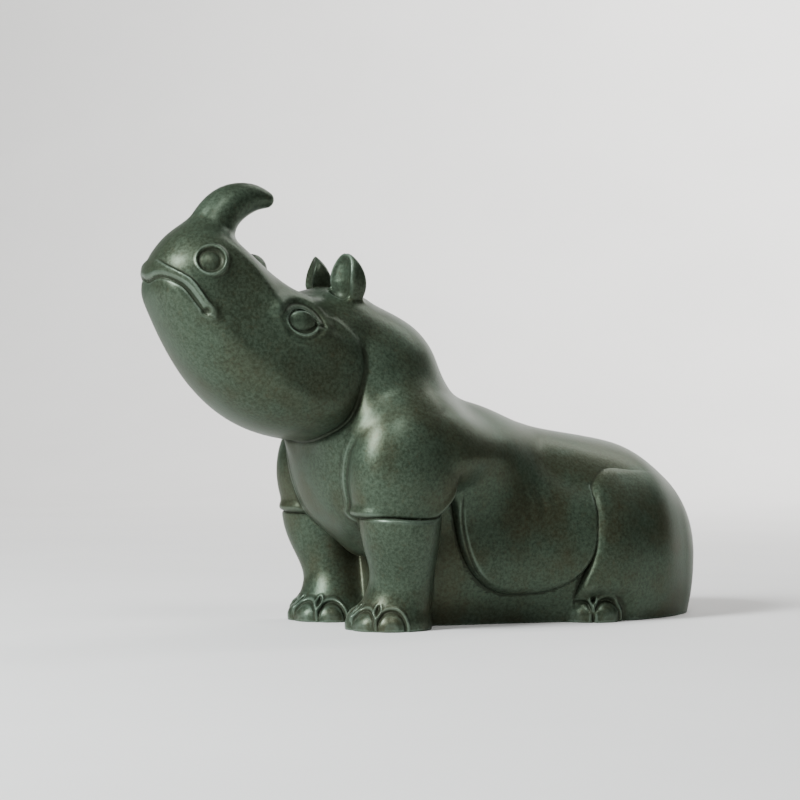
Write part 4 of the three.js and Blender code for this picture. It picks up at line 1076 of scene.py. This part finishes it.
@dataclass(frozen=True)
class PatinatedBronze:
    """Satin dark green patina on cast bronze, finely mottled and waxed.

    Attributes:
        deep: The patina's darker green.
        fresh: Its lighter, bluer green, which the clouds and grain let through.
        brown_specks_and_reflection: Brown that shows in specks, and that is also painted low down as a reflection of a
            brown table beneath.
        rubbed_and_highlit: The greyed green of edges, partly where hands have rubbed the patina and partly a painted
            highlight where ridges catch the light.
        roughness: Of the waxed surface.
        grain: Height of the fine casting grain in metres.
    """

    deep: tuple[float, float, float, float] = (0.0175, 0.0255, 0.0155, 1.0)
    fresh: tuple[float, float, float, float] = (0.077, 0.108, 0.075, 1.0)
    brown_specks_and_reflection: tuple[float, float, float, float] = (0.060, 0.048, 0.024, 1.0)
    rubbed_and_highlit: tuple[float, float, float, float] = (0.180, 0.240, 0.190, 1.0)
    roughness: float = 0.37
    grain: float = 0.00005
    # Height in metres over which the painted brown reflection low on the casting fades out.
    tall: float = 0.27

    def dress(self, piece: bpy.types.Object, mottle: bpy.types.NodeTree,
              wear_and_highlight: bpy.types.NodeTree) -> None:
        """Puts the patina on a piece.

        Args:
            piece: The casting.
            mottle: The mottle effect.
            wear_and_highlight: The effect for worn edges that also carry a painted highlight, and for hollows.
        """
        material = bpy.data.materials.new("patinated_bronze")
        material.use_nodes = True
        weave = Weave(material.node_tree)
        shader = weave.tree.nodes["Principled BSDF"]
        place = weave.add("ShaderNodeTexCoord").outputs["Object"]
        patches = weave.group(mottle, Place=place, Cloud_Scale=24.0, Grain_Scale=520.0, Contrast=0.35)
        bend = weave.add("ShaderNodeAttribute", attribute_name="bend").outputs["Fac"]
        worn_and_highlit = weave.group(wear_and_highlight, Bend=bend, Edge=0.60, Hollow=0.34, Breakup=patches.outputs["Cloud"])
        green = weave.math("MULTIPLY_ADD", patches.outputs["Grain"], 0.55, 0.0)
        green = weave.math("MULTIPLY_ADD", patches.outputs["Cloud"], 0.25, green, clamp=True)
        colour = weave.mix(green, self.deep, self.fresh)
        height = weave.add("ShaderNodeSeparateXYZ")
        weave.feed(height.inputs[0], place)
        # Painted reflection: brown grows towards the base and stands in for a brown table reflected low on the
        # casting; the specks added below are the metal's own brown.
        low = weave.span(height.outputs[2], 0.0, self.tall, 0.40, 0.10)
        brown_specks_and_reflection = weave.math("MULTIPLY", low, weave.span(patches.outputs["Cloud"], 0.9, 0.1))
        brown_specks_and_reflection = weave.math("MULTIPLY_ADD", patches.outputs["Specks"], 0.25, brown_specks_and_reflection, clamp=True)
        colour = weave.mix(brown_specks_and_reflection, colour, self.brown_specks_and_reflection)
        hollow = weave.math("MULTIPLY", worn_and_highlit.outputs["Hollows"], 0.65)
        colour = weave.mix(hollow, colour, (0.016, 0.018, 0.011, 1.0))
        # Painted highlight and wear: convex edges mix towards pale green, partly as rubbed patina and partly standing
        # in for the light that ridges catch.
        edge = weave.math("MULTIPLY", worn_and_highlit.outputs["Edges"], 0.34)
        colour = weave.mix(edge, colour, self.rubbed_and_highlit)
        weave.feed(shader.inputs["Base Color"], colour)
        rough = weave.math("MULTIPLY_ADD", patches.outputs["Grain"], 0.08, self.roughness - 0.04)
        rough = weave.math("MULTIPLY_ADD", worn_and_highlit.outputs["Hollows"], 0.12, rough)
        weave.feed(shader.inputs["Roughness"], rough)
        shader.inputs["Metallic"].default_value = 0.45
        shader.inputs["Specular Tint"].default_value = (0.45, 0.50, 0.45, 1.0)
        shader.inputs["IOR"].default_value = 1.5
        shader.inputs["Specular IOR Level"].default_value = 0.25
        shader.inputs["Coat Weight"].default_value = 0.04
        shader.inputs["Coat Roughness"].default_value = 0.28
        bump = weave.add("ShaderNodeBump")
        bump.inputs["Strength"].default_value = 0.6
        bump.inputs["Distance"].default_value = self.grain
        weave.feed(bump.inputs["Height"], patches.outputs["Grain"])
        weave.feed(shader.inputs["Normal"], bump.outputs[0])
        piece.data.materials.append(material)


@dataclass(frozen=True)
class PaleCard:
    """Matt pale board for the floor and the sweep behind it.

    Attributes:
        light: The board's colour.
        shade: Its slightly darker clouds.
    """

    light: tuple[float, float, float, float] = (0.76, 0.75, 0.735, 1.0)
    shade: tuple[float, float, float, float] = (0.72, 0.71, 0.695, 1.0)

    def dress(self, piece: bpy.types.Object, mottle: bpy.types.NodeTree) -> None:
        """Puts the board's finish on a piece.

        Args:
            piece: The floor.
            mottle: The mottle effect.
        """
        material = bpy.data.materials.new("pale_card")
        material.use_nodes = True
        weave = Weave(material.node_tree)
        shader = weave.tree.nodes["Principled BSDF"]
        place = weave.add("ShaderNodeTexCoord").outputs["Object"]
        patches = weave.group(mottle, Place=place, Cloud_Scale=3.0, Grain_Scale=500.0, Contrast=0.1)
        weave.feed(shader.inputs["Base Color"], weave.mix(patches.outputs["Cloud"], self.light, self.shade))
        shader.inputs["Roughness"].default_value = 0.85
        shader.inputs["Specular IOR Level"].default_value = 0.2
        piece.data.materials.append(material)


@dataclass
class Casting:
    """The figurine itself, one hollow bronze casting.

    Attributes:
        figure: The form.
        finish: The patina.
        step: The mesh's grid in millimetres for a finished render.
        faces: Triangles for a finished render.
    """

    figure: Figure = field(default_factory=Figure)
    finish: PatinatedBronze = field(default_factory=PatinatedBronze)
    step: float = 0.85
    quick_step: float = 2.0
    faces: int = 190000
    quick_faces: int = 60000

    def build(self, mottle: bpy.types.NodeTree, wear_and_highlight: bpy.types.NodeTree) -> bpy.types.Object:
        """Builds the casting on the CAD node's place and dresses it.

        Args:
            mottle: The mottle effect.
            wear_and_highlight: The effect for worn edges that also carry a painted highlight, and for hollows.

        Returns:
            The piece.
        """
        low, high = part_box(NODE)
        middle = ((low.x + high.x) / 2.0, (low.y + high.y) / 2.0)
        skin = Skin(self.figure, self.step)
        skin.faces = self.faces
        piece = skin.build("casting", middle)
        self.finish.dress(piece, mottle, wear_and_highlight)
        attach(piece, BODY)
        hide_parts(NODE)
        return piece


@dataclass
class Studio:
    """The pale floor that sweeps up behind the figure, the soft lights and the camera.

    Attributes:
        shift: How far the figure's own frame lies from the CAD frame, in metres.
    """

    shift: tuple[float, float]
    turn: float = 29.65
    eye: tuple[float, float, float] = (-779.7, -1326.4, 139.5)
    lens: float = 109.08
    sensor: float = 36.0
    card: PaleCard = field(default_factory=PaleCard)

    def across(self, right: float, away: float, up: float) -> Vector:
        """Gives a place by its distance to the right of, behind and above the figure.

        Args:
            right: Metres to the right, as the camera sees it.
            away: Metres behind the figure.
            up: Metres above the floor.

        Returns:
            The place.
        """
        turn = math.radians(self.turn)
        return Vector((
            right * math.cos(turn) + away * math.sin(turn),
            -right * math.sin(turn) + away * math.cos(turn),
            up,
        ))

    def floor(self, mottle: bpy.types.NodeTree) -> None:
        """Builds the floor and the sweep behind it.

        Args:
            mottle: The mottle effect.
        """
        front, behind, height, round_part, half, steps = -4.0, 3.2, 3.2, 1.4, 5.0, 24
        profile = [(front, 0.0), (behind - round_part, 0.0)]
        for i in range(1, steps + 1):
            angle = math.pi / 2.0 * i / steps
            profile.append((behind - round_part + round_part * math.sin(angle),
                            round_part - round_part * math.cos(angle)))
        profile.append((behind, height))
        points = [self.across(side * half, away, up) for away, up in profile for side in (-1.0, 1.0)]
        quads = [(2 * i, 2 * i + 1, 2 * i + 3, 2 * i + 2) for i in range(len(profile) - 1)]
        mesh = bpy.data.meshes.new("floor")
        mesh.from_pydata([tuple(p) for p in points], [], quads)
        for polygon in mesh.polygons:
            polygon.use_smooth = True
        floor = bpy.data.objects.new("floor", mesh)
        bpy.context.scene.collection.objects.link(floor)
        self.card.dress(floor, mottle)

    def lamp(self, name: str, place: Vector, aim: Vector, size: tuple[float, float],
             power: float, colour: tuple[float, float, float]) -> None:
        """Hangs one soft rectangular lamp.

        Args:
            name: The lamp's name.
            place: Where it hangs.
            aim: Where it points.
            size: Its width and height in metres.
            power: Its power in watts.
            colour: Its colour.
        """
        data = bpy.data.lights.new(name, "AREA")
        data.shape = "RECTANGLE"
        data.size, data.size_y = size
        data.energy = power
        data.color = colour
        lamp = bpy.data.objects.new(name, data)
        lamp.location = place
        lamp.rotation_euler = (aim - place).to_track_quat("-Z", "Y").to_euler()
        bpy.context.scene.collection.objects.link(lamp)

    def lights(self) -> None:
        """Hangs the window-like key light, the weak fill and the pale room round them."""
        aim = Vector((0.0, 0.0, 0.14))
        wall = self.across(1.3, 3.2, 0.5)
        self.lamp("window", self.across(-1.4, -1.0, 1.3), aim, (0.6, 0.9), 104.0, (0.94, 0.985, 1.0))
        self.lamp("skylight", self.across(0.2, -1.3, 1.9), aim, (0.8, 0.7), 20.0, (0.99, 1.0, 1.0))
        self.lamp("wall wash", self.across(1.5, 1.6, 2.2), wall, (2.2, 0.8), 175.0, (1.0, 0.995, 0.99))
        world = bpy.data.worlds.new("room")
        world.use_nodes = True
        weave = Weave(world.node_tree)
        backdrop = world.node_tree.nodes["Background"]
        backdrop.inputs[0].default_value = (0.86, 0.86, 0.875, 1.0)
        seen = weave.add("ShaderNodeLightPath").outputs["Is Camera Ray"]
        weave.feed(backdrop.inputs[1], weave.math("MULTIPLY_ADD", seen, 1.2, 0.04))
        bpy.context.scene.world = world

    def camera(self) -> None:
        """Sets the camera at the photograph's viewing angle."""
        data = bpy.data.cameras.new("camera")
        data.sensor_width = self.sensor
        data.lens = self.lens
        camera = bpy.data.objects.new("camera", data)
        x, y, z = (v * METRE for v in self.eye)
        camera.location = (x + self.shift[0], y + self.shift[1], z)
        camera.rotation_euler = (math.pi / 2.0, 0.0, -math.radians(self.turn))
        bpy.context.scene.collection.objects.link(camera)
        bpy.context.scene.camera = camera

    def build(self, mottle: bpy.types.NodeTree) -> None:
        """Builds the floor, the lights and the camera.

        Args:
            mottle: The mottle effect.
        """
        self.floor(mottle)
        self.lights()
        self.camera()


def main() -> None:
    """Builds the casting and the studio."""
    logging.basicConfig(level=logging.INFO, format="%(message)s")
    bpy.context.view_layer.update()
    mottle = Mottle().build()
    wear_and_highlight = WearAndHighlight().build()
    casting = Casting().build(mottle, wear_and_highlight)
    log.info("casting: %d vertices", len(casting.data.vertices))
    Studio(tuple(casting["shift"])).build(mottle)


if __name__ == "__main__":
    main()
